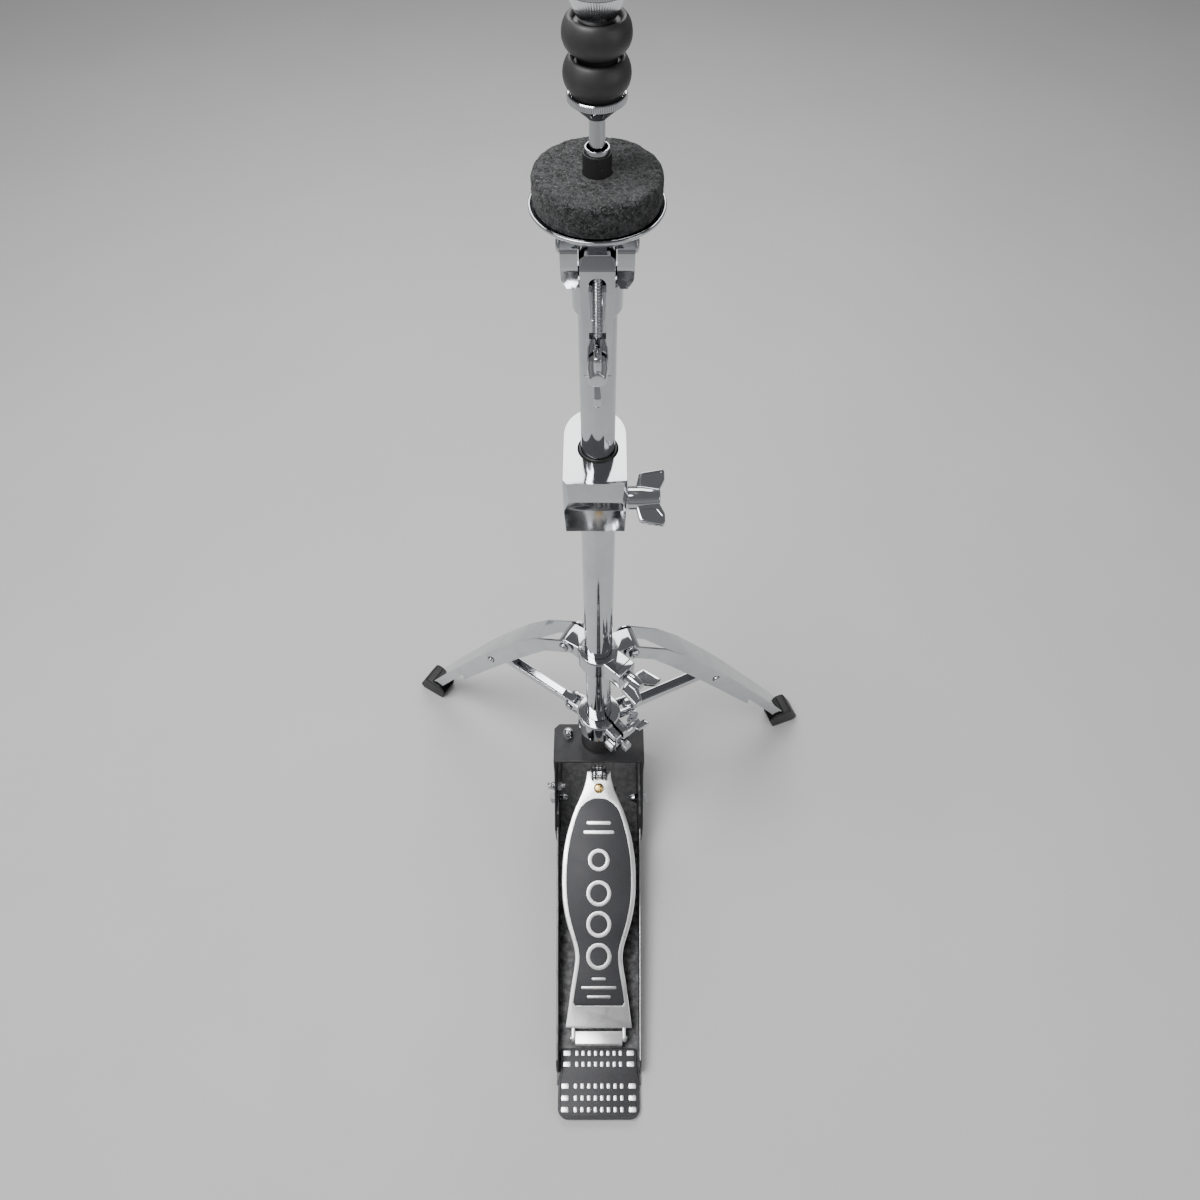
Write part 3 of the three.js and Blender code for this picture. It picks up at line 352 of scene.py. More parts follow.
def prism(outline, depth, m=I4, b=0.0, nb=3, bottom=True):
    """Outline (fillets allowed) extruded along the frame's Z, its end edges rounded by b."""
    o = clean(rounded(outline))
    if area(o) < 0:
        o.reverse()
    layers = []
    if b:
        if bottom:
            layers += [(b * (1 - cos(pi / 2 * k / nb)), b * (1 - sin(pi / 2 * k / nb))) for k in range(nb + 1)][::-1]
            layers = [(b * (1 - sin(pi / 2 * k / nb)), b * (1 - cos(pi / 2 * k / nb))) for k in range(nb + 1)]
        else:
            layers = [(0, 0)]
        layers += [(b * (1 - cos(pi / 2 * k / nb)), depth - b * (1 - sin(pi / 2 * k / nb))) for k in range(nb + 1)]
    else:
        layers = [(0, 0), (0, depth)]
    bm = bmesh.new()
    rows = []
    for d, z in layers:
        q = inset(o, d) if d > 1e-6 else o
        rows.append([bm.verts.new(m @ Vector((x, y, z))) for x, y in q])
    k = len(o)
    for a, c in zip(rows, rows[1:]):
        for i in range(k):
            j = (i + 1) % k
            bm.faces.new((a[i], a[j], c[j], c[i]))
    bm.faces.new(rows[0][::-1])
    bm.faces.new(rows[-1])
    return from_bm(bm)


def box(x0, x1, y0, y1, z0, z1, m=I4, b=0.0):
    return prism([(x0, y0, b), (x1, y0, b), (x1, y1, b), (x0, y1, b)], z1 - z0, m @ up(z0), b)


def sweep(points, r, n=12, closed=False):
    """Round wire along the points."""
    P = [Vector(p) for p in points]
    k = len(P)
    bm = bmesh.new()
    t0 = (P[1] - P[0]).normalized()
    ref = Vector((0, 0, 1)) if abs(t0.z) < 0.9 else Vector((1, 0, 0))
    nrm = (ref - t0 * ref.dot(t0)).normalized()
    rows = []
    for i, p in enumerate(P):
        t = (P[min(i + 1, k - 1)] - P[max(i - 1, 0)]).normalized()
        nrm = (nrm - t * nrm.dot(t)).normalized()
        bi = t.cross(nrm)
        rr = r(i / (k - 1)) if callable(r) else r
        rows.append([bm.verts.new(p + (nrm * cos(2 * pi * j / n) + bi * sin(2 * pi * j / n)) * rr) for j in range(n)])
    for a, c in zip(rows, rows[1:]):
        for i in range(n):
            j = (i + 1) % n
            bm.faces.new((a[i], a[j], c[j], c[i]))
    bm.faces.new(rows[0][::-1])
    bm.faces.new(rows[-1])
    return from_bm(bm)


def _evaluated(me, tools, op, solver):
    o = bpy.data.objects.new("work", me)
    scene.collection.objects.link(o)
    obs = []
    for t in tools:
        ob = bpy.data.objects.new("tool", t)
        scene.collection.objects.link(ob)
        obs.append(ob)
        mod = o.modifiers.new("b", "BOOLEAN")
        mod.operation = op
        mod.solver = solver
        mod.object = ob
    dg = bpy.context.evaluated_depsgraph_get()
    dg.update()
    out = bpy.data.meshes.new_from_object(o.evaluated_get(dg))
    for ob in obs + [o]:
        bpy.data.objects.remove(ob)
    return out


def _bool(me, tools, op):
    flat = []
    for t in tools:
        flat += t if isinstance(t, (list, tuple)) else [t]
    if not flat:
        return me
    try:
        out = _evaluated(me, flat, op, "MANIFOLD")
    except TypeError:
        out = _evaluated(me, flat, op, "EXACT")
    if len(out.polygons) == 0:
        out = _evaluated(me, flat, op, "EXACT")
    return out


def add(me, *tools):
    return _bool(me, tools, "UNION")


def cut(me, *tools):
    return _bool(me, tools, "DIFFERENCE")


def both(me, *tools):
    return _bool(me, tools, "INTERSECT")


def knurl(r, n, z0, z1, depth=0.7, m=I4, c=0.7):
    """Round-toothed ring with chamfered ends."""
    o = []
    for i in range(n):
        for k in range(4):
            a = (i + k / 4) / n * 2 * pi
            o.append(((r - depth * (0, 0.5, 1, 0.5)[k]) * cos(a), (r - depth * (0, 0.5, 1, 0.5)[k]) * sin(a)))
    return both(prism(o, z1 - z0, m @ up(z0)), turn([(0, z0), (r - c, z0), (r + 0.01, z0 + c), (r + 0.01, z1 - c), (r - c, z1), (0, z1)], m))


def ribbed(r0, z0, r1, z1, n, depth):
    """Cone whose side is cut into fine straight ribs."""
    bm = bmesh.new()
    loops = []
    for r, z in ((r0, z0), (r1, z1)):
        loops.append([bm.verts.new(((r - (depth if i % 2 else 0)) * cos(pi * i / n), (r - (depth if i % 2 else 0)) * sin(pi * i / n), z)) for i in range(2 * n)])
    lo, hi = loops
    for i in range(2 * n):
        j = (i + 1) % (2 * n)
        bm.faces.new((lo[i], lo[j], hi[j], hi[i]))
    bm.faces.new(lo[::-1])
    bm.faces.new(hi)
    return from_bm(bm)


def hexagon(flat, m, z0, z1, b=0.35):
    r = flat / math.sqrt(3)
    nut = prism(circle(0, 0, r, 6), z1 - z0, m @ up(z0))
    c = (r - flat / 2) * 0.75
    return both(nut, turn([(0, z0), (flat / 2 - 0.1, z0), (r + 0.02, z0 + c), (r + 0.02, z1 - c), (flat / 2 - 0.1, z1), (0, z1)], m))


# ---------------------------------------------------------------- materials
def graph(name):
    m = bpy.data.materials.new(name)
    m.use_nodes = True
    nt = m.node_tree
    nt.nodes.clear()
    out = nt.nodes.new("ShaderNodeOutputMaterial")
    bsdf = nt.nodes.new("ShaderNodeBsdfPrincipled")
    nt.links.new(bsdf.outputs[0], out.inputs[0])

    def node(kind, ins=None, **props):
        nd = nt.nodes.new("ShaderNode" + kind)
        for k, v in props.items():
            setattr(nd, k, v)
        for k, v in (ins or {}).items():
            s = nd.inputs[k]
            if isinstance(v, bpy.types.NodeSocket):
                nt.links.new(v, s)
            else:
                s.default_value = v
        return nd

    def put_in(socket, v):
        if isinstance(v, bpy.types.NodeSocket):
            nt.links.new(v, bsdf.inputs[socket])
        else:
            bsdf.inputs[socket].default_value = v

    co = node("TexCoord").outputs["Object"]
    return m, node, put_in, co


def fac(node, co, scale, detail=4.0, rough=0.55, distortion=0.0, stretch=None):
    v = co
    if stretch:
        v = node("Mapping", {"Vector": co, "Scale": stretch}).outputs[0]
    return node("TexNoise", {"Vector": v, "Scale": scale, "Detail": detail, "Roughness": rough, "Distortion": distortion}).outputs[0]


def rng(node, v, a, b, lo, hi):
    return node("MapRange", {"Value": v, "From Min": a, "From Max": b, "To Min": lo, "To Max": hi}).outputs[0]


def mixc(node, f, a, b):
    nd = node("Mix", data_type="RGBA")
    nd.inputs[0].default_value = 0.5
    nt = nd.id_data
    if isinstance(f, bpy.types.NodeSocket):
        nt.links.new(f, nd.inputs[0])
    else:
        nd.inputs[0].default_value = f
    for i, c in ((6, a), (7, b)):
        if isinstance(c, bpy.types.NodeSocket):
            nt.links.new(c, nd.inputs[i])
        else:
            nd.inputs[i].default_value = (*c, 1.0)
    return nd.outputs[2]


def bump(node, height, strength, distance, normal=None):
    ins = {"Height": height, "Strength": strength, "Distance": distance}
    if normal is not None:
        ins["Normal"] = normal
    return node("Bump", ins).outputs[0]


def metal(name, col, dark, rough, wave=0.0, wave_scale=40.0, grain=0.0, grain_scale=1500.0, scratch=0.0, stretch=None, spots=0.0):
    """Metal with smudged roughness, a trace of waviness, hairline scratches and fine grain."""
    m, node, put, co = graph(name)
    smudge = fac(node, co, 34.0, 5.0, 0.62, 0.6)
    fine = fac(node, co, grain_scale, 3.0, 0.6, 0.0, stretch)
    put("Base Color", mixc(node, rng(node, smudge, 0.35, 0.75, 0.0, 1.0), col, dark))
    put("Metallic", 1.0)
    r = node("Math", {0: rng(node, smudge, 0.3, 0.75, rough[0], rough[1]), 1: rng(node, fine, 0.45, 0.8, 0.0, (rough[1] - rough[0]) * 0.6)}, operation="ADD").outputs[0]
    put("Roughness", r)
    h = None
    if wave:
        h = bump(node, fac(node, co, wave_scale, 2.0, 0.5), 1.0, wave)
    if scratch:
        lines = node("TexVoronoi", {"Vector": node("Mapping", {"Vector": co, "Scale": (1.0, 1.0, 0.06)}).outputs[0], "Scale": 900.0}, feature="DISTANCE_TO_EDGE").outputs[0]
        h = bump(node, rng(node, lines, 0.0, 0.04, 0.0, 1.0), scratch, 0.00002, h)
    if grain:
        h = bump(node, fine, grain, 0.00006, h)
    if h is not None:
        put("Normal", h)
    return m


M = {}
M["chrome"] = metal("chrome", (0.60, 0.61, 0.63), (0.52, 0.53, 0.55), (0.035, 0.085), wave=0.00006, wave_scale=55.0, grain=0.04, scratch=0.05)
M["chrome_pressed"] = metal("chrome_pressed", (0.60, 0.61, 0.63), (0.50, 0.51, 0.53), (0.04, 0.10), wave=0.00045, wave_scale=48.0, grain=0.05, scratch=0.05)
M["chrome_cast"] = metal("chrome_cast", (0.66, 0.67, 0.69), (0.56, 0.57, 0.59), (0.04, 0.10), wave=0.00012, wave_scale=90.0, grain=0.06)
M["chrome_satin"] = metal("chrome_satin", (0.80, 0.81, 0.83), (0.70, 0.71, 0.73), (0.10, 0.20), wave=0.00006, wave_scale=90.0, grain=0.08)
M["steel"] = metal("zinc_steel", (0.60, 0.61, 0.63), (0.42, 0.42, 0.43), (0.20, 0.36), wave=0.00004, wave_scale=120.0, grain=0.25, grain_scale=2600.0)
M["spring"] = metal("spring_steel", (0.50, 0.50, 0.52), (0.34, 0.34, 0.35), (0.22, 0.34), grain=0.2, grain_scale=2600.0)
M["chain"] = metal("chain_steel", (0.13, 0.13, 0.135), (0.06, 0.06, 0.063), (0.25, 0.42), grain=0.2, grain_scale=2600.0)
M["cast"] = metal("bright_casting", (0.93, 0.93, 0.94), (0.84, 0.84, 0.85), (0.26, 0.40), wave=0.00005, wave_scale=140.0, grain=0.25, grain_scale=2200.0, stretch=(1.0, 0.25, 1.0))
M["brass"] = metal("brass", (0.83, 0.58, 0.22), (0.62, 0.40, 0.14), (0.18, 0.32), grain=0.2)


def painted(name, col, light, rough, peel, peel_scale, spec_amount=0.0, edge_wear_and_highlight=0.0, metallic=0.0, fleck=0.0):
    """Powder coat or textured paint: orange peel, dust, and convex edges painted lighter, partly rubbed wear and partly
    a painted edge highlight.
    """
    m, node, put, co = graph(name)
    big = fac(node, co, 22.0, 5.0, 0.6, 0.4)
    fine = fac(node, co, peel_scale, 4.0, 0.65)
    base = mixc(node, rng(node, big, 0.35, 0.7, 0.0, 1.0), col, light)
    dust = rng(node, fac(node, co, 1400.0, 2.0, 0.5), 0.70, 0.78, 0.0, spec_amount)
    base = mixc(node, dust, base, (0.45, 0.45, 0.44))
    if fleck:
        fl = rng(node, fac(node, co, 3600.0, 1.0, 0.5), 0.60, 0.72, 0.0, fleck)
        base = mixc(node, fl, base, (0.5, 0.5, 0.52))
    if edge_wear_and_highlight:
        # convex edges painted lighter by pointiness: a painted edge highlight as well as rubbed wear
        edge_wear_highlight_mask = rng(node, node("NewGeometry").outputs["Pointiness"], 0.53, 0.62, 0.0, edge_wear_and_highlight)
        edge_wear_highlight_mask = node("Math", {0: edge_wear_highlight_mask, 1: rng(node, fac(node, co, 160.0, 4.0, 0.6), 0.4, 0.65, 0.0, 1.0)}, operation="MULTIPLY").outputs[0]
        base = mixc(node, edge_wear_highlight_mask, base, (0.30, 0.30, 0.31))
    put("Base Color", base)
    put("Metallic", metallic)
    put("Roughness", rng(node, big, 0.3, 0.75, rough[0], rough[1]))
    put("Normal", bump(node, fine, peel, 0.00012))
    return m


M["black"] = painted("black_powder_coat", (0.016, 0.016, 0.018), (0.024, 0.024, 0.026), (0.30, 0.42), 0.35, 1300.0, 0.25, 0.5)
M["black_gloss"] = painted("black_enamel", (0.012, 0.012, 0.014), (0.018, 0.018, 0.02), (0.16, 0.28), 0.12, 900.0, 0.2, 0.5)
M["inlay"] = painted("grey_textured_paint", (0.030, 0.030, 0.034), (0.042, 0.042, 0.047), (0.42, 0.56), 0.6, 2300.0, 0.2, 0.0, 0.35, 0.25)
M["rubber"] = painted("black_rubber", (0.014, 0.014, 0.014), (0.024, 0.024, 0.024), (0.50, 0.66), 0.45, 1700.0, 0.3, 0.0)
M["nylon"] = painted("black_nylon", (0.012, 0.012, 0.012), (0.018, 0.018, 0.018), (0.32, 0.44), 0.2, 1500.0, 0.1, 0.0)


def cushion_rubber():
    m, node, put, co = graph("soft_rubber")
    big = fac(node, co, 60.0, 5.0, 0.6, 0.5)
    base = mixc(node, rng(node, big, 0.35, 0.7, 0.0, 1.0), (0.030, 0.030, 0.031), (0.050, 0.049, 0.049))
    put("Base Color", base)
    put("Roughness", rng(node, fac(node, co, 150.0, 5.0, 0.6), 0.3, 0.75, 0.38, 0.54))
    put("Normal", bump(node, fac(node, co, 1900.0, 4.0, 0.65), 0.35, 0.0001, bump(node, big, 0.4, 0.0003)))
    return m


M["cushion"] = cushion_rubber()


def felt():
    m, node, put, co = graph("pressed_wool_felt")
    tuft = fac(node, co, 240.0, 6.0, 0.72, 0.6)
    clump = fac(node, co, 620.0, 5.0, 0.74, 0.8)
    hair = fac(node, co, 1100.0, 5.0, 0.78, 1.2)
    f = node("Math", {0: tuft, 1: 0.40}, operation="MULTIPLY").outputs[0]
    f = node("Math", {0: clump, 1: 0.60, 2: f}, operation="MULTIPLY_ADD").outputs[0]
    base = mixc(node, rng(node, f, 0.44, 0.58, 0.0, 1.0), (0.007, 0.0075, 0.0075), (0.085, 0.087, 0.09))
    base = mixc(node, rng(node, hair, 0.57, 0.66, 0.0, 0.9), base, (0.34, 0.34, 0.34))
    base = mixc(node, rng(node, hair, 0.36, 0.46, 0.9, 0.0), base, (0.004, 0.004, 0.004))
    put("Base Color", base)
    put("Roughness", 0.95)
    put("Sheen Weight", 0.12)
    put("Sheen Roughness", 0.5)
    put("Specular IOR Level", 0.2)
    n = bump(node, tuft, 0.6, 0.0008)
    n = bump(node, clump, 0.8, 0.0006, n)
    put("Normal", bump(node, hair, 0.9, 0.00035, n))
    return m


M["felt"] = felt()


# ---------------------------------------------------------------- putting pieces on their bodies
made = {}


def put(name, me, mat, nodes, slot=None, bevel=0.0, angle=32.0, body=None, wn=False, seg=2, blend=None):
    nodes = [nodes] if isinstance(nodes, str) else list(nodes)
    me = me.copy()
    me.transform(Matrix.Scale(0.001, 4))
    bm = bmesh.new()
    bm.from_mesh(me)
    bmesh.ops.remove_doubles(bm, verts=bm.verts[:], dist=2e-7)
    bmesh.ops.dissolve_degenerate(bm, edges=bm.edges[:], dist=1e-7)
    bm.to_mesh(me)
    bm.free()
    me.materials.clear()
    me.materials.append(M[mat])
    me.name = name
    o = bpy.data.objects.new(name, me)
    scene.collection.objects.link(o)
    me.shade_smooth()
    me.set_sharp_from_angle(angle=rad(angle))
    if bevel:
        b = o.modifiers.new("edges", "BEVEL")
        b.width = bevel * 0.001
        b.segments = seg
        b.limit_method = "ANGLE"
        b.angle_limit = rad(angle)
        b.harden_normals = True
        b.use_clamp_overlap = True
        b.miter_outer = "MITER_ARC"
    if wn:
        w = o.modifiers.new("normals", "WEIGHTED_NORMAL")
        w.keep_sharp = True
    if blend:
        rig.blend(o, *blend)
    else:
        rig.ride(o, body or NODES[nodes[0]]["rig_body"])
    if nodes:
        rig.replaces(o, *nodes)
    if slot:
        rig.slot(o, slot)
    made[name] = o
    return o


def keep(node, mat, bevel=0.4, slot=None):
    """A CAD node that stays, its edges eased by modifiers."""
    o = NODES[node]
    o.data.materials.clear()
    o.data.materials.append(M[mat])
    w = o.modifiers.new("weld", "WELD")
    w.merge_threshold = 0.00002
    b = o.modifiers.new("edges", "BEVEL")
    b.width = bevel * 0.001
    b.segments = 2
    b.limit_method = "ANGLE"
    b.angle_limit = rad(32)
    b.harden_normals = True
    return o


# ---------------------------------------------------------------- driving dimensions (as in the CAD)
ROD_R, ROD_TOP, ROD_BOTTOM = 3.8, 1062.0, 124.0
LOWER_R, LOWER_BORE, LOWER_BOTTOM, LOWER_TOP = 12.7, 11.5, 121.4, 577.0
UPPER_R, UPPER_BORE, UPPER_BOTTOM, UPPER_TOP = 11.1, 10.0, 380.0, 712.0
SEAT_TOP, FELT_R, CUP_R = 774.3, 32.3, 34.0
SLEEVE_R, SLEEVE_TOP, SEAT_TUBE_R, SEAT_BORE, SEAT_TUBE_TOP = 7.0, 783.0, 6.0, 5.3, 785.3
TILT_Z = 735.0
HEEL_TOP, HINGE_Y, HINGE_Z = 8.2, -288.5, 16.0
BOARD_HEEL, BOARD_TOE, BOARD_T = (-281.0, 22.0), (-29.0, 96.0), 5.0
TOE_PIN, YOKE_PIN = (-36.0, 97.5), (-2.0, 116.5)
AZ = {"R": 20.5, "L": 148.5}
LEG_PIVOT, STRUT_PIN, STRUT_PIVOT = (30.0, 316.0), (128.0, 200.0), (32.0, 182.0)
CZ = 799.0
LUG_UPPER, LUG_LOWER = -42.0, -46.0
GAP = 0.3


def wings(m, hub=6.5, hub_h=14, span=40, wing_h=11, t=4.5, z0=5, tip=5):
    """Cast wing head: round hub and two flat wings, each with a raised rim round a shallow panel."""
    h = turn([(0, 0), (hub, 0, 0.6), (hub, hub_h * 0.45, 1.5), (hub * 0.78, hub_h, 1.2), (0, hub_h)], m, 64)
    s = span / 2
    o = [(-hub * 0.5, z0 - 3), (-s + 3, z0, 3), (-s, z0 + wing_h + tip, 2.0), (-s + 8, z0 + wing_h + tip, 3.0), (-hub * 0.5, hub_h - 1, 2),
         (hub * 0.5, hub_h - 1, 2), (s - 8, z0 + wing_h + tip, 3.0), (s, z0 + wing_h + tip, 2.0), (s - 3, z0, 3), (hub * 0.5, z0 - 3)]
    w = prism(o, t, m @ F((1, 0, 0), (0, 0, 1), (0, -1, 0), (0, t / 2, 0)), 0.8)
    wells = []
    for k in (-1, 1):
        q = [(k * (hub + 0.6), z0 + 0.6), (k * (s - 4), z0 + 2.2), (k * (s - 2.0), z0 + wing_h + tip - 2.0), (k * (s - 6.8), z0 + wing_h + tip - 2.0), (k * (hub + 0.6), hub_h - 2.6)]
        q = rounded([(a, b, 1.3) for a, b in q])
        for side in (-1, 1):
            wells.append(prism(q, 2, m @ F((1, 0, 0), (0, 0, 1), (0, -1, 0), (0, side * (t / 2 + 0.35) + 1.0, 0))))
    return add(cut(w, *wells), h)


# ================================================================ clutch
def clutch():
    z = CZ
    put("clutch_tube_v", ring(ROD_R + GAP, 6, z + 4.7, z + 73, c=0.3), "chrome", "clutch_tube", "chrome")
    nut = add(turn([(0, z), (5.2, z, 0.4), (6.2, z + 1, 1.0), (12.4, z + 6.6, 0.5), (12.4, z + 10.3, 0.3), (0, z + 10.3)], seg=128), knurl(13.5, 80, z + 7, z + 10.3, 0.4, c=0.5))
    put("clutch_bottom_nut_v", cut(nut, rod(12, z + 8.4, z + 12), rod(6.3, z + 4.4, z + 12), rod(ROD_R + GAP, z - 4, z + 12)), "chrome", "clutch_bottom_nut", "chrome")
    low = spline([(11.2, z + 8.8), (11.35, z + 10.2), (12.2, z + 11.7), (13.6, z + 13.3), (14.6, z + 15.4), (15.0, z + 17.9), (14.8, z + 20.2), (14.1, z + 22.4), (13.1, z + 24.1), (12.1, z + 24.95), (11.2, z + 25.05), (10.5, z + 24.5), (10.1, z + 23.5), (9.9, z + 23)], 4)
    top = spline([(8.9, z + 23.5), (9.1, z + 25.3), (10.2, z + 26.5), (12.2, z + 27.9), (13.8, z + 29.5), (14.8, z + 31.9), (15.0, z + 34.2), (14.6, z + 36.8), (13.7, z + 38.9), (12.7, z + 40.2), (11.7, z + 40.6), (10.7, z + 40.2), (10.0, z + 39.3), (9.8, z + 38.5)], 4)
    for n, q, a, b in (("lower", low, z + 8.8, z + 23), ("upper", top, z + 23.5, z + 38.5)):
        o = put("clutch_cushion_" + n, turn([(6.3, a)] + q + [(6.3, b)], seg=144), "cushion", "clutch_felt_" + n, "felt", angle=50)
        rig.padded(o, fill=1.0)
    body = add(turn([(0, z + 39.2), (8, z + 39.2, 0.5), (9.2, z + 42.5, 3), (12.3, z + 49.3, 0.5), (12.3, z + 54, 0.8), (9, z + 56, 0.5), (0, z + 56)], seg=128), knurl(13.5, 80, z + 49.5, z + 53.4, 0.45, c=0.6), ribbed(9.0, z + 41.2, 12.75, z + 49.6, 64, 0.5))
    put("clutch_top_nut_v", cut(body, rod(6.3, z + 30, z + 60)), "chrome_satin", "clutch_top_nut", "chrome")
    put("clutch_lock_nut_v", cut(knurl(11.5, 60, z + 56.4, z + 62.4, 0.5), rod(6.3, z + 50, z + 66)), "chrome", "clutch_lock_nut", "chrome")
    b = turn([(0, z + 64), (11, z + 64, 0.5), (12, z + 66, 1), (12, z + 92, 2), (10.5, z + 96, 1), (0, z + 96)])
    b = add(b, rod(6.8, 0, 17, along_y(0, 0, z + 84), 64, 0.5))
    b = cut(b, rod(6.3, z + 60, z + 73.3), rod(ROD_R + GAP, z + 60, z + 100), rod(3.3, 0, 20, along_y(0, 0, z + 84)))
    put("clutch_body_v", b, "chrome", "clutch_body", "chrome")
    m = along_y(0, -17.6, z + 84) @ RZ(math.degrees(0.2))
    put("clutch_screw_v", add(rod(3, -13, 1, m, 40), wings(m, 5.5, 13, 34, 8, 4, 4, 5)), "chrome_cast", "clutch_screw", "chrome")


# ================================================================ seat and tilter
def seat():
    cup = turn([(SEAT_BORE, 727), (8, 727), (8, 743), (10, 747, 2), (20, 750.5, 6), (31, 754, 3), (CUP_R, 757, 0.8), (CUP_R, 758.2, 0.5), (33.2, 758.4, 0.3), (31.5, 757.6), (20, 757.2), (SEAT_TUBE_R, 757.2), (SEAT_TUBE_R, SEAT_TUBE_TOP, 0.4), (SEAT_BORE, SEAT_TUBE_TOP)], seg=128)
    block = box(-9.6, 9.6, -9.5, 9, 726, 745, b=1.0)
    arm = prism([(-9, 744, 1), (-20, 742, 1.5), (-24, 736, 2), (-23.5, 668, 2.5), (-20, 664.5, 1.5), (-18.5, 668), (-18.5, 726, 2), (-9, 728)], 18, across_x(-9), 0.3)
    face = [(-5.4, 744.5), (-9, 737, 1.5), (-9, 720, 8), (-8, 702, 8), (-8, 669, 1.5), (-6, 664), (6, 664), (8, 669, 1.5), (8, 702, 8), (9, 720, 8), (9, 737, 1.5), (5.4, 744.5)]
    arm = both(arm, prism(face, 30, F((1, 0, 0), (0, 0, 1), (0, -1, 0), (0, 0, 0))))
    front = F((1, 0, 0), (0, 0, 1), (0, -1, 0), (0, -15, 0))
    slot = prism([(-4.6, 694), (4.6, 694)] + circle(0, 727.4, 4.6, 28, 0, 180), 12, front)
    s = cut(add(cup, block, arm), rod(SEAT_BORE, 700, 800), slot, rod(3.3, -10, 40, along_y(0, 0, 679), 40), rod(2.8, 6.4, 20, along_x(0, 0, TILT_Z), 40), rod(2.8, 6.4, 20, along_mx(0, 0, TILT_Z), 40))
    put("seat_cup_v", s, "chrome", "seat_cup", "chrome", bevel=0.7, seg=3)
    # threaded stud in the slot
    thread = [(0, 690)]
    for i in range(22):
        thread += [(1.65, 691 + i * 1.85), (2.5, 691.8 + i * 1.85), (2.5, 692.0 + i * 1.85)]
    put("tilt_stud_v", turn(thread + [(1.85, 732.4), (0, 732.6)], T(0, -20.4, 0), 40), "chrome_satin", [], "steel", body="seat", angle=25)

    prof = [(SLEEVE_R + GAP, 757.6), (FELT_R - 1.2, 758.4), (FELT_R - 0.2, 760.2), (FELT_R, 763), (FELT_R, 768.2), (FELT_R - 0.25, 771.4), (FELT_R - 1.1, 773.4), (FELT_R - 2.8, 774.1), (26, 774.1), (20, 774.2), (13, 774.1), (SLEEVE_R + 2.2, 773.9), (SLEEVE_R + GAP, 773.2)]
    dense = [prof[0]]
    for a, b in zip(prof, prof[1:]):
        k = max(1, int(math.hypot(b[0] - a[0], b[1] - a[1]) / 0.7))
        dense += [(a[0] + (b[0] - a[0]) * i / k, a[1] + (b[1] - a[1]) * i / k) for i in range(1, k + 1)]
    me = turn(dense, seg=220)
    me.calc_loop_triangles()
    for v in me.vertices:
        r = math.hypot(v.co.x, v.co.y)
        if r > SLEEVE_R + 1 and v.co.z > 758.9:
            n1 = noise.noise(v.co * 0.16) * 0.34 + noise.noise(v.co * 0.42 + Vector((7, 3, 1))) * 0.34 + noise.noise(v.co * 1.1) * 0.22 - 0.42
            k = (r - 22) / 10.3
            if r > 22:
                d = Vector((v.co.x / r, v.co.y / r, 0)) * max(0, min(1, k))
            else:
                d = Vector((0, 0, 0))
            if v.co.z > 772:
                d = d * 0.6 + Vector((0, 0, 1.0))
            v.co += d * n1
    o = put("seat_felt_v", me, "felt", "seat_felt", "felt", angle=60)
    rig.padded(o, fill=1.0)
    put("seat_sleeve_v", turn([(SEAT_TUBE_R + GAP, 757.6), (SLEEVE_R, 757.6), (SLEEVE_R, SLEEVE_TOP, 0.4), (SEAT_TUBE_R + GAP, SLEEVE_TOP)]), "rubber", "seat_sleeve", "rubber")
    # tilt screw with its wing head, the bracket and the pivot pins
    m = along_y(0, -25, 679) @ RZ(90)
    put("tilt_screw_v", add(rod(3, -7.4, 1, m, 40), wings(m, 6, 15, 36, 8, 4, 5, 5)), "chrome_cast", "tilt_screw", "chrome")
    br = turn([(UPPER_R + GAP, 697), (13.2, 697, 0.4), (14, 698.5, 0.6), (14, 716, 1), (12.8, 719, 0.5), (UPPER_R - 0.3, 719), (UPPER_R - 0.3, 712.3), (UPPER_R + GAP, 712.3)])
    lug = [(-14, 741, 2.5), (-14, 729.5, 8), (-6.5, 711.5, 4), (7, 711.5, 4), (12, 726, 8), (12, 741, 3)]
    for k in (-1, 1):
        o2 = [(k * 10, 712), (k * 12.5, 711, 1), (k * 15.5, 712, 3), (k * 19, 721, 7), (k * 19, 741), (k * 10, 741)]
        slab = prism(o2, 30, F((1, 0, 0), (0, 0, 1), (0, -1, 0), (0, 14, 0)))
        br = add(br, both(slab, prism(rounded(lug, 8), 50, across_x(-25))))
    br = cut(br, rod(2.8, -30, 30, along_x(0, 0, TILT_Z), 40), rod(UPPER_R + GAP, 660, 712.3))
    put("tilt_bracket_v", br, "chrome", "tilt_bracket", "chrome", bevel=0.8, seg=3)
    for k, n in ((1, "R"), (-1, "L")):
        m = along_x(0, 0, TILT_Z) if k > 0 else along_mx(0, 0, TILT_Z)
        put("tilt_pivot_v_" + n, add(rod(2.5, 6.9, 20, m, 40), turn([(0, 19.3), (4.6, 19.3, 0.3), (4.6, 20.4, 0.5), (3.2, 21.4, 0.8), (0, 21.6)], m, 48)), "steel", "tilt_pivot_" + n, "steel")


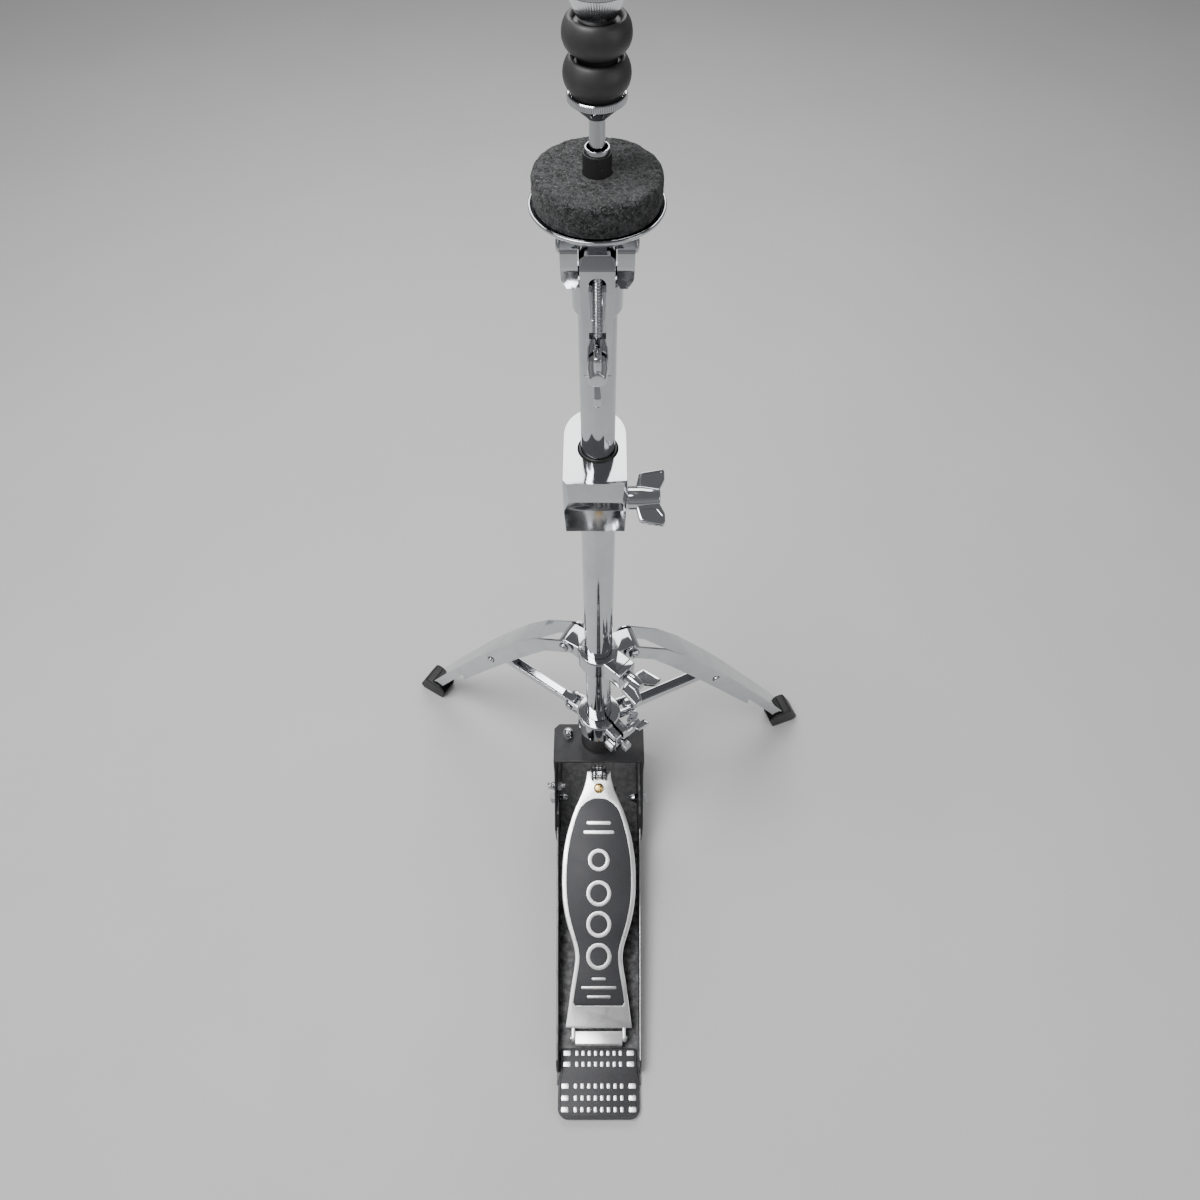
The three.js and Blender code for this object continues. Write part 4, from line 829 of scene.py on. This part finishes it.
# ================================================================ tubes and height clamp
def tubes():
    put("pull_rod_v", turn([(0, ROD_BOTTOM), (ROD_R, ROD_BOTTOM, 0.3), (ROD_R, ROD_TOP, 1.0), (0, ROD_TOP)], seg=64), "chrome", "pull_rod", "chrome")
    put("lower_tube_v", turn([(LOWER_BORE, LOWER_BOTTOM), (LOWER_R, LOWER_BOTTOM, 0.3), (LOWER_R, LOWER_TOP, 0.4), (LOWER_BORE, LOWER_TOP, 0.3)], seg=128), "chrome", "lower_tube", "chrome")
    put("upper_tube_v", turn([(UPPER_BORE, UPPER_BOTTOM), (UPPER_R, UPPER_BOTTOM, 0.3), (UPPER_R, UPPER_TOP, 0.4), (UPPER_BORE, UPPER_TOP, 0.3)], seg=128), "chrome", "upper_tube", "chrome")
    arch = [(-2 + 21 * x, 12 + 25 * y) for x, y in circle(0, 0, 1, 64, 0, 180)]
    plan = [(-19, -33, 1.5), (16, -33, 1.5), (19, -28, 2)] + arch + [(-23, -28, 2)]
    s = prism(plan, 69, up(516), 0.3)
    s = cut(s, prism([(-60, 569), (-33, 569), (-30.5, 590), (-60, 590)], 100, across_x(-50)), prism([(-60, 569), (-33, 569), (-15.2, 515), (-15.2, 500), (-60, 500)], 100, across_x(-50)),
            prism([(60, 574), (37.5, 570), (15.5, 520), (15.5, 500), (60, 500)], 100, across_x(-50)))
    s = cut(s, rod(LOWER_R + GAP, 490, LOWER_TOP + GAP), rod(13.6, LOWER_TOP + GAP, 600), rod(4.3, 0, 30, along_x(8, -21.5, 560), 40))
    put("height_clamp_v", s, "chrome", "height_clamp", "chrome", bevel=0.7, seg=3)
    put("clamp_bushing_v", turn([(UPPER_R + GAP, LOWER_TOP + 0.6), (13.3, LOWER_TOP + 0.6), (13.3, 584.4, 0.3), (12.7, 585.2, 0.2), (12.5, 586.2, 0.4), (UPPER_R + GAP, 586.2, 0.2)]), "nylon", "clamp_bushing", "nylon")
    m = F((0, 1, 0), (0, 0, 1), (1, 0, 0), (19.6, -21.5, 560)) @ RZ(math.degrees(0.35))
    put("height_screw_v", add(rod(4, -8, 1, m, 40), wings(m, 8, 22, 40, 11, 6, 8, 6)), "chrome_cast", "height_screw", "chrome")


# ================================================================ legs, struts and collars
def radial(az):
    a = rad(az)
    return F((cos(a), sin(a), 0), (0, 0, 1), (sin(a), -cos(a), 0), (0, 0, 0))


TOP = [(64, 300.5), (88, 273), (122, 225), (150, 183), (175, 142.5), (205, 95), (241, 34.5), (250, 19)]


def offset(line, d):
    out = []
    for i, p in enumerate(line):
        a, b = Vector(line[max(i - 1, 0)]), Vector(line[min(i + 1, len(line) - 1)])
        t = (b - a).normalized()
        out.append((p[0] + t.y * d, p[1] - t.x * d))
    return out


DEPTH = [17, 19.5, 20, 19.5, 18.5, 17, 14, 13]
LOW = [offset(TOP, DEPTH[i])[i] for i in range(len(TOP))]


def legs():
    for n in ("L", "R"):
        m = radial(AZ[n])

        def across(w0, mm=m):
            return mm @ T(0, 0, w0)

        def at(p, w=0.0, mm=m):
            return mm @ T(p[0], p[1], w)

        top = [(x, y, 14 if 0 < i < 7 else 0) for i, (x, y) in enumerate(TOP)]
        low = [(x, y, 14 if 0 < i < 7 else 0) for i, (x, y) in enumerate(LOW)]
        cheek = circle(LEG_PIVOT[0], LEG_PIVOT[1], 9, 24, 80, 215)[::-1] + top + low[::-1]
        outer = prism(cheek, 26, across(-13), 0.9)
        inn = offset(TOP, 1.8)
        space = [(10, 345), (60, 345), (64.5, 299.4)] + inn[1:] + [(252, 8), (238, 8)] + offset(TOP, 40)[1:-1][::-1] + [(40, 265), (10, 290)]
        s = cut(outer, prism(space, 22.4, across(-11.2)))
        for k in (-1, 1):
            w = [(134, k * 13.01), (146, k * 11.6), (270, k * 10.2), (270, k * 20), (134, k * 20)]
            s = cut(s, prism(w, 400, m @ F((1, 0, 0), (0, 0, 1), (0, -1, 0), (0, 400, 0))))
        s = cut(s, rod(2.8, -20, 20, at(LEG_PIVOT), 40))
        liner = offset(TOP, 0.2)[3:] + [(246, 12)] + offset(TOP, 12)[3:][::-1]
        hollow = offset(TOP, 2.0)[3:] + [(250, 5)] + offset(TOP, 30)[3:][::-1]
        skin = cut(prism(liner, 20, across(-10)), prism(hollow, 17, across(-8.5)))
        skin = both(skin, prism([(138, -10), (270, -10), (270, 10), (138, 10)], 400, m @ F((1, 0, 0), (0, 0, 1), (0, -1, 0), (0, 400, 0))))
        s = add(s, skin)
        s = cut(s, prism([(200, 9.5), (262, 9.5), (262, -60), (200, -60)], 60, across(-30)))
        for k in (-1, 1):
            mm = at(STRUT_PIN) if k > 0 else at(STRUT_PIN) @ F((0, 1, 0), (1, 0, 0), (0, 0, -1), (0, 0, 0))
            s = add(s, turn([(0, 5.8), (3, 5.8), (3, 12.6), (4.4, 12.6, 0.3), (4.2, 14.4, 0.8), (3, 15.4, 1), (0, 15.6)], mm, 48))
        put("leg_v_" + n, s, "chrome_pressed", "leg_" + n, "chrome", angle=28)
        boot = [(232, 0, 3), (262, 0, 3), (266, 6, 3), (252.5, 33, 5), (231, 30, 5), (227, 22, 3)]
        f = prism(boot, 26, across(-13), 2.2, 4)
        pocket = offset(TOP, -0.4)[5:] + [(252.5, 14), (240, 7)] + offset(TOP, 22)[5:][::-1]
        f = cut(f, prism(pocket, 21.6, across(-10.8)))
        put("foot_v_" + n, f, "rubber", "foot_" + n, "rubber")
        bolt = add(hexagon(9, at(LEG_PIVOT), 13.3, 16.9), rod(2.5, -14, 14, at(LEG_PIVOT), 32), turn([(0, -16.2), (3.8, -16.2, 1), (4.8, -15.2, 0.6), (4.8, -13.3), (0, -13.3)], at(LEG_PIVOT), 48), rod(2.4, 16.8, 18.2, at(LEG_PIVOT), 32, 0.3))
        put("leg_pivot_v_" + n, bolt, "steel", "leg_pivot_" + n, "steel")
        (r0, z0), (r1, z1) = STRUT_PIVOT, STRUT_PIN
        L = math.hypot(r1 - r0, z1 - z0)
        ux, uz = (r1 - r0) / L, (z1 - z0) / L
        sf = m @ F((ux, uz, 0), (-uz, ux, 0), (0, 0, 1), (r0, z0, 0))
        E = L - 13
        so = circle(0, 0, 5.4, 20, 90, 270) + [(12, -5.4), (E - 10, -4.6)] + circle(E, 0, 4.2, 20, -90, 90) + [(E - 10, 4.2), (10, 4.6)]
        st = prism(so, 10, sf @ T(0, 0, -5), 0.5)
        st = cut(st, prism([(12, 20), (13, -3.8, 0.8), (E - 11, -3.2, 0.8), (E - 10, 20)], 7, sf @ T(0, 0, -3.5)))
        st = add(st, rod(2.5, -9.2, 9.2, sf, 32), turn([(0, 8.7), (4.4, 8.7, 0.3), (4.2, 10, 0.8), (3, 11, 1), (0, 11.2)], sf, 48), turn([(0, -8.7), (4.4, -8.7, 0.3), (4.2, -10, 0.8), (3, -11, 1), (0, -11.2)], sf, 48))
        put("strut_v_" + n, st, "chrome", "strut_" + n, "chrome")


def collars():
    s = turn([(LOWER_R + GAP, 299), (18.4, 299, 0.5), (19, 300.5, 0.6), (19, 321, 0.6), (18, 323, 0.6), (LOWER_R + GAP, 323)])
    t = turn([(LOWER_R + GAP, 160.5), (21.6, 160.5, 0.5), (22.4, 162, 0.8), (22.4, 190, 0.8), (21.2, 192, 0.8), (LOWER_R + GAP, 192)])
    for n in ("L", "R"):
        m = radial(AZ[n])
        ear = circle(*LEG_PIVOT, 7.4, 20, -60, 100) + [(16, 323), (16, 303)]
        s = add(s, prism(ear, 21, m @ T(0, 0, -10.5), 0.8))
        lug = circle(*STRUT_PIVOT, 6, 20, -70, 90) + [(18, 189), (18, 172)]
        for w0 in (-8.4, 5.4):
            t = add(t, prism(lug, 3, m @ T(0, 0, w0), 0.5))
    g1, g2 = radial(LUG_UPPER), radial(LUG_LOWER)
    s = add(s, prism([(8, 300), (35, 300, 1), (35, 322.6, 1), (8, 322.6)], 21, g1 @ T(0, 0, -10.5), 1.0))
    t = add(t, prism([(8, 158), (35.5, 158, 1), (35.5, 187, 2), (8, 191)], 19, g2 @ T(0, 0, -9.5), 1.0))
    s = cut(s, prism([(28.6, 321.4), (29.8, 321.4), (29.8, 325), (28.6, 325)], 30, g1 @ T(0, 0, -15)), rod(LOWER_R + GAP, 290, 330))
    t = cut(t, prism([(0, 150), (50, 150), (50, 200), (0, 200)], 3, g2 @ T(0, 0, -1.5)), rod(LOWER_R + GAP, 150, 200))
    for n in ("L", "R"):
        m = radial(AZ[n])
        s = cut(s, rod(2.8, -20, 20, m @ T(*LEG_PIVOT, 0), 40))
        t = cut(t, rod(2.8, -20, 20, m @ T(*STRUT_PIVOT, 0), 40))

    def out(az, r, z):
        a = rad(az)
        return F((-sin(a), cos(a), 0), (0, 0, 1), (cos(a), sin(a), 0), (r * cos(a), r * sin(a), z))

    m1 = out(LUG_UPPER, 35.3, 311)
    s = cut(s, rod(3.3, -30, 10, m1, 40))
    put("leg_collar_v", s, "chrome", "leg_collar", "chrome")
    put("leg_screw_v", add(rod(3, -21, 1, m1, 40), wings(m1, 6, 17, 36, 16, 5, 6, 4)), "chrome_cast", "leg_screw", "chrome")

    def cross(t0):
        a = rad(LUG_LOWER)
        d = (-sin(a), cos(a), 0)
        return F((-cos(a), -sin(a), 0), (0, 0, 1), d, (28 * cos(a) + t0 * d[0], 28 * sin(a) + t0 * d[1], 163.8))

    m4 = out(LUG_LOWER, 35.8, 168.5)
    t = cut(t, rod(3.0, -30, 30, cross(0), 40), rod(2.6, -4.6, 4, m4, 40))
    put("strut_collar_v", t, "chrome", "strut_collar", "chrome")
    put("strut_bolt_v", add(rod(2.7, -12, 20, cross(0), 40), box(-5, 5, -5, 5, -13.6, -9.8, cross(0), 0.5)), "steel", "strut_bolt", "steel")
    put("strut_wing_nut_v", cut(wings(cross(9.8), 6, 22, 24, 10, 5, 13.5, 4), rod(3.0, -5, 40, cross(0), 40)), "chrome_cast", "strut_wing_nut", "chrome")
    put("strut_stop_screw_v", add(rod(2.3, -4.2, 3, m4, 32), box(-4.2, 4.2, -4.2, 4.2, 2, 9, m4, 0.5)), "steel", "strut_stop_screw", "steel")


# ================================================================ base
def base():
    for n in ("pad_rear", "pad_front"):
        keep(n, "rubber", 0.3)
    keep("base_plate", "black", 0.45)
    keep("base_bracket", "black", 0.9)
    edges = None
    for k in (-1, 1):
        line = []
        for y, top in ((-309, 26.1), (-250, 32.2), (-190, 38.4), (-130, 44.6), (-80, 49.8)):
            wide = 47.7 if y > -74 else 47.7 - 4.7 * (-74 - y) / 245
            line.append((k * (wide - 1.15), y, top))
        d = sweep(line, 0.8, 10)
        edges = d if edges is None else merge(edges, d)
    put("base_wall_edges", edges, "steel", [], "steel", body="stand")
    b = turn([(13, 121.4), (19.2, 121.4, 0.3), (19.2, 124, 0.5), (18.6, 125, 1), (18.2, 146, 1.5), (17, 149.5, 1), (13, 150, 0.3)])
    put("tube_boss_v", b, "black", "tube_boss", "black_paint")
    for k, n in ((-1, "L"), (1, "R")):
        m = along_x(0, -44, 52) if k > 0 else along_mx(0, -44, 52)
        put("side_bolt_v_" + n, add(hexagon(11, m, 50.2, 54.8), turn([(0, 54.6), (4.6, 54.6), (4.2, 55.6, 0.5), (0, 55.6)], m, 40), rod(2.5, 36.5, 51, m, 32)), "steel", "side_bolt_" + n, "steel")
        put("side_nut_v_" + n, cut(add(hexagon(10, m, 40.8, 45.2), turn([(0, 35.2), (2.6, 35.8, 1), (4.2, 38, 1.5), (4.6, 41), (0, 41)], m, 48)), rod(2.8, 36.2, 46, m, 32)), "chrome", "side_nut_" + n, "steel")
    m = along_mx(0, -35, 66)
    head = add(rod(5, 50.3, 53.5, m, 48, 0.4), box(-2.2, 2.2, -5.5, 5.5, 53, 58.5, m, 0.6))
    put("tee_bolt_v", add(head, rod(2.5, 38.5, 51, m, 32)), "chrome", "tee_bolt", "chrome")
    put("tee_bolt_nut_v", cut(hexagon(9, m, 42.6, 47.6), rod(2.8, 40, 49, m, 32)), "steel", "tee_bolt_nut", "steel")


# ================================================================ heel
def heel():
    F0 = -360
    plan = [(-41, F0, 10), (41, F0, 10), (41, -323, 2), (39.4, -320, 1), (39.4, -297, 3), (-39.4, -297, 3), (-39.4, -320, 1), (-41, -323, 2)]
    s = prism(plan, HEEL_TOP - 4.4, up(4.4), 0.8)
    s = add(s, prism([(-41, F0, 10), (41, F0, 10), (41, -331), (-41, -331)], 4.5, up(2), 0.6))
    pocket = [(-38.8, -357.8, 8), (38.8, -357.8, 8), (38.8, -324, 2), (37.4, -321, 1), (37.4, -299.2, 2), (-37.4, -299.2, 2), (-37.4, -321, 1), (-38.8, -324, 2)]
    s = cut(s, prism(pocket, 5, up(HEEL_TOP - 1)))
    put("heel_plate_v", s, "inlay", "heel_plate", "cast_metal", angle=30)
    q = [(-38.5, -357.5, 7.7), (38.5, -357.5, 7.7), (38.5, -324, 1.7), (37.1, -321, 1), (37.1, -299.5, 1.7), (-37.1, -299.5, 1.7), (-37.1, -321, 1), (-38.5, -324, 1.7)]
    put("heel_inlay_v", prism(q, 0.6, up(HEEL_TOP - 0.9), 0.15), "inlay", "heel_inlay", "inlay")
    # five rows of raised grip dashes
    rows = [-301.5 - 0, -311.5, -331.0, -341.5, -351.5]
    xs = [(-32, 7.5), (-22, 3.4), (-15.7, 3.4), (-9.4, 3.4), (-3.1, 3.4), (3.1, 3.4), (9.4, 3.4), (15.7, 3.4), (22, 3.4), (32, 7.5)]
    parts = None
    for j, y in enumerate(rows):
        half = 36.4 if j < 2 else 37.8
        for x, w in xs:
            x = x * half / 35.6
            d = prism([(x - w / 2, y - 2.4, 1.0), (x + w / 2, y - 2.4, 1.0), (x + w / 2, y + 2.4, 1.0), (x - w / 2, y + 2.4, 1.0)], 0.9, up(HEEL_TOP - 0.5), 0.3)
            parts = d if parts is None else merge(parts, d)
    put("heel_grip_dashes", parts, "cast", [], "cast_metal", body="stand")
    o = [(-295.8, 4.4), (-282, 4.4), (-282, 9, 0.5), (-282.1, 14, 0.5), (-282.1, 20.5, 1.2), (-295.4, 20.5, 2), (-295.8, 10, 1)]
    put("hinge_block_v", cut(prism(o, 48.6, across_x(-24.3), 0.6), rod(2.8, -40, 40, along_x(0, HINGE_Y, HINGE_Z), 40)), "cast", "hinge_block", "cast_metal")
    put("hinge_pin_v", rod(2.5, -29.6, 29.6, along_x(0, HINGE_Y, HINGE_Z), 40, 0.5), "steel", "hinge_pin", "steel")


def merge(a, b):
    bm = bmesh.new()
    bm.from_mesh(a)
    bm.from_mesh(b)
    me = bpy.data.meshes.new("part")
    bm.to_mesh(me)
    bm.free()
    return me


# ================================================================ footboard and chain
ang = math.atan2(BOARD_TOE[1] - BOARD_HEEL[1], BOARD_TOE[0] - BOARD_HEEL[0])
BOARD = F((1, 0, 0), (0, cos(ang), sin(ang)), (0, -sin(ang), cos(ang)), (0, BOARD_HEEL[0], BOARD_HEEL[1]))


def S(y):
    return (y - BOARD_HEEL[0]) / cos(ang)


def footboard():
    widths = [(-29, 27), (-36, 28.4), (-47, 34), (-59, 44.4), (-72, 56), (-84, 64), (-100, 72.4), (-120, 78.6), (-140, 79.8), (-160, 77.6), (-179, 70.2), (-198, 57.6), (-208, 51.9), (-217, 50.6), (-227, 53.1), (-245, 59.4), (-261, 63.9), (-280, 69.7)]
    half = spline([(w / 2, S(y)) for y, w in widths], 5)
    outline = half[::-1] + [(-x, y) for x, y in half]
    b = prism(outline, BOARD_T, BOARD @ up(-BOARD_T), 1.1)
    rim = 4.5
    inner = spline([(w / 2 - rim, S(y)) for y, w in widths if -245 <= y <= -72], 5)
    side = [(0, S(-57.2)), (6, S(-57.6)), (11, S(-59.4)), (16, S(-62.6)), (21, S(-67.6))]
    side = spline(side, 3) + inner + [(27, S(-257)), (24.5, S(-260))]
    loop = side[::-1] + [(-x, y) for x, y in side[1:]]
    b = cut(b, prism(loop, 5, BOARD @ up(-1.0)))
    ear = [(-292.1, HINGE_Z - 1), (-292.5, HINGE_Z + 3.8, 2), (-288.5, HINGE_Z + 5, 2), (-278, 22.2), (-262, 26.5), (-262, 23), (-280, 15.5), (-286, HINGE_Z - 4.6, 2), (-291, HINGE_Z - 4.2, 2)]
    for k in (-1, 1):
        b = add(b, prism(ear, 3.3, across_x(24.6 if k > 0 else -27.9), 0.5))
    b = cut(b, rod(2.8, -60, 60, along_x(0, HINGE_Y, HINGE_Z), 40), rod(3.0, -8, 3, BOARD @ T(0, S(-47), 0), 40), box(-5.8, 5.8, S(-40.6), S(-20), -1.3, 3, BOARD))
    put("footboard_v", b, "cast", "footboard", "cast_metal", angle=30)
    small = inset(clean(loop), 0.35) if area(clean(loop)) > 0 else inset(clean(loop)[::-1], 0.35)
    put("footboard_inlay_v", prism(small, 0.7, BOARD @ up(-0.85), 0.15), "inlay", "footboard_inlay", "inlay", angle=30)
    # plain grip marks down the middle of the inlay: bars, rings, bars
    parts = None

    def mark(d):
        nonlocal parts
        parts = d if parts is None else merge(parts, d)

    for y, w, t in ((-83.0, 27, 4.2), (-92.5, 34, 4.2), (-235.0, 15, 2.8), (-243.0, 37, 3.0), (-251.5, 25, 2.8)):
        mark(prism([(-w / 2, S(y) - t / 2, t * 0.48), (w / 2, S(y) - t / 2, t * 0.48), (w / 2, S(y) + t / 2, t * 0.48), (-w / 2, S(y) + t / 2, t * 0.48)], 1.0, BOARD @ up(-0.4), 0.4))
    for y, r in ((-120.5, 11.8), (-153.5, 13.4), (-183.5, 13.4), (-214.0, 13.4)):
        mark(turn([(r - 4.2, -0.4), (r, -0.4), (r, 0.6, 0.4), (r - 4.2, 0.6, 0.4)], BOARD @ T(0, S(y), 0), 72))
    put("footboard_grip_marks", parts, "cast", [], "cast_metal", body="pedal")
    at = BOARD @ T(0, S(-47), 0)
    scr = add(turn([(0, 0.3), (5.6, 0.3), (5.4, 1.5, 0.6), (3.6, 2.7, 1.2), (0, 3.1)], at, 64), rod(2.6, -10.5, 0.5, at, 32))
    scr = cut(scr, box(-3, 3, -0.6, 0.6, 1.8, 4, at), box(-0.6, 0.6, -3, 3, 1.8, 4, at))
    put("toe_screw_v", scr, "brass", "toe_screw", "brass")
    keep("toe_clamp", "black_gloss", 0.3)
    # chain: plates and rollers
    dy, dz = YOKE_PIN[0] - TOE_PIN[0], YOKE_PIN[1] - TOE_PIN[1]
    L = math.hypot(dy, dz)
    m = F((1, 0, 0), (0, dy / L, dz / L), (0, -dz / L, dy / L), (0, TOE_PIN[0], TOE_PIN[1]))
    n, p = 4, L / 4
    parts = None

    def plate(i, x):
        a, c = i * p, (i + 1) * p
        o = circle(a, 0, 3.4, 16, 90, 270) + [((a + c) / 2, -2.4)] + circle(c, 0, 3.4, 16, 270, 450) + [((a + c) / 2, 2.4)]
        return prism(o, 1.5, m @ F((0, 1, 0), (0, 0, 1), (1, 0, 0), (x, 0, 0)), 0.25, 2)

    for i in range(n):
        for x in ((-6.2, -0.75, 4.7) if i % 2 else (-4.4, 2.9)):
            d = plate(i, x)
            parts = d if parts is None else merge(parts, d)
    put("chain_v", parts, "chain", "chain", "steel")
    parts = rod(1.2, -6, 6, m @ F((0, 1, 0), (0, 0, 1), (1, 0, 0), (0, 0, 0)), 24)
    for i in range(n + 1):
        parts = merge(parts, rod(1.6, -6.8, 6.8, m @ F((0, 1, 0), (0, 0, 1), (1, 0, 0), (0, i * p, 0)), 24, 0.3))
        parts = merge(parts, ring(1.7, 2.7, -2.7, -0.9, m @ F((0, 1, 0), (0, 0, 1), (1, 0, 0), (0, i * p, 0)), 24, 0.2))
        parts = merge(parts, ring(1.7, 2.7, 0.9, 2.7, m @ F((0, 1, 0), (0, 0, 1), (1, 0, 0), (0, i * p, 0)), 24, 0.2))
    put("chain_pins_v", parts, "steel", [], "steel", body="chain_link")
    keep("rod_yoke", "steel", 0.3)
    turns, r, wire, z0, z1, cx, cy = 8, 4.6, 1.0, 83.0, 107.5, -34.0, 3.0
    pts = [Vector((cx, cy - 3.2, 76.5)), Vector((cx, cy - 3.0, 79.5))]
    for i in range(turns * 32 + 1):
        a = -pi / 2 + i / 32 * 2 * pi
        pts.append(Vector((cx + r * cos(a), cy + r * sin(a), z0 + (z1 - z0) * i / (turns * 32))))
    pts += [Vector((cx, cy - 2.6, 109.6)), Vector((cx, cy, 110.2))]
    me = sweep([tuple(p) for p in pts], wire, 10)
    o = put("return_spring_v", me, "spring", "return_spring", "steel", blend=("stand", "rod", (cx * 0.001, cy * 0.001, z1 * 0.001), (cx * 0.001, cy * 0.001, z0 * 0.001)))
    mm = T(cx, cy, 0)
    put("spring_adjuster_v", turn([(0, 111.6), (2.6, 111.6, 0.3), (2.6, 121.4), (5.2, 121.4, 0.4), (5.4, 124, 0.8), (3.4, 125.4, 0.5), (3.6, 126.6, 0.6), (5.4, 129.2, 1.5), (5.2, 131.6, 1.5), (3, 133.6, 1), (0, 134)], mm, 64), "chrome", "spring_adjuster", "chrome")


clutch()
seat()
tubes()
legs()
collars()
base()
heel()
footboard()

# ---------------------------------------------------------------- floor and light
bm = bmesh.new()
bmesh.ops.create_grid(bm, x_segments=8, y_segments=8, size=30.0)
fm = bpy.data.meshes.new("floor")
bm.to_mesh(fm)
bm.free()
m, node, putin, co = graph("plain_floor")
putin("Base Color", mixc(node, rng(node, fac(node, co, 3.0, 3.0), 0.3, 0.7, 0.0, 1.0), (0.64, 0.64, 0.635), (0.67, 0.67, 0.665)))
putin("Roughness", rng(node, fac(node, co, 9.0, 3.0), 0.3, 0.7, 0.62, 0.72))
fm.materials.append(m)
floor = bpy.data.objects.new("floor", fm)
scene.collection.objects.link(floor)
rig.stage(floor)

world = bpy.data.worlds.new("studio")
scene.world = world
world.use_nodes = True
wn = world.node_tree
bg = wn.nodes["Background"]
tc = wn.nodes.new("ShaderNodeTexCoord")
sep = wn.nodes.new("ShaderNodeSeparateXYZ")
ramp = wn.nodes.new("ShaderNodeValToRGB")
wn.links.new(tc.outputs["Generated"], sep.inputs[0])
wn.links.new(sep.outputs["Z"], ramp.inputs[0])
ramp.color_ramp.elements[0].position = 0.0
ramp.color_ramp.elements[0].color = (0.34, 0.34, 0.345, 1)
ramp.color_ramp.elements[1].position = 0.75
ramp.color_ramp.elements[1].color = (0.17, 0.17, 0.175, 1)
wn.links.new(ramp.outputs[0], bg.inputs[0])
bg.inputs[1].default_value = 1.0


def softbox(name, loc, target, size, power, size_y=None):
    d = bpy.data.lights.new(name, "AREA")
    d.shape = "RECTANGLE"
    d.size = size
    d.size_y = size_y or size
    d.energy = power
    o = bpy.data.objects.new(name, d)
    scene.collection.objects.link(o)
    o.location = loc
    o.rotation_euler = (Vector(target) - Vector(loc)).to_track_quat("-Z", "Y").to_euler()
    return o


softbox("key", (-0.7, -0.3, 2.3), (0, -0.05, 0.3), 1.1, 46, 0.9)
softbox("fill", (1.6, -0.9, 1.3), (0, 0, 0.3), 0.8, 6, 1.2)
softbox("back", (-0.1, 1.35, 1.75), (0, 0, 0.4), 1.5, 18, 0.9)

bpy.context.view_layer.update()
vis_lo, vis_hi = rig.bounds()
json.dump({"cad": [list(map(float, cad_lo)), list(map(float, cad_hi))], "visual": [list(map(float, vis_lo)), list(map(float, vis_hi))]}, open("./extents.json", "w"))
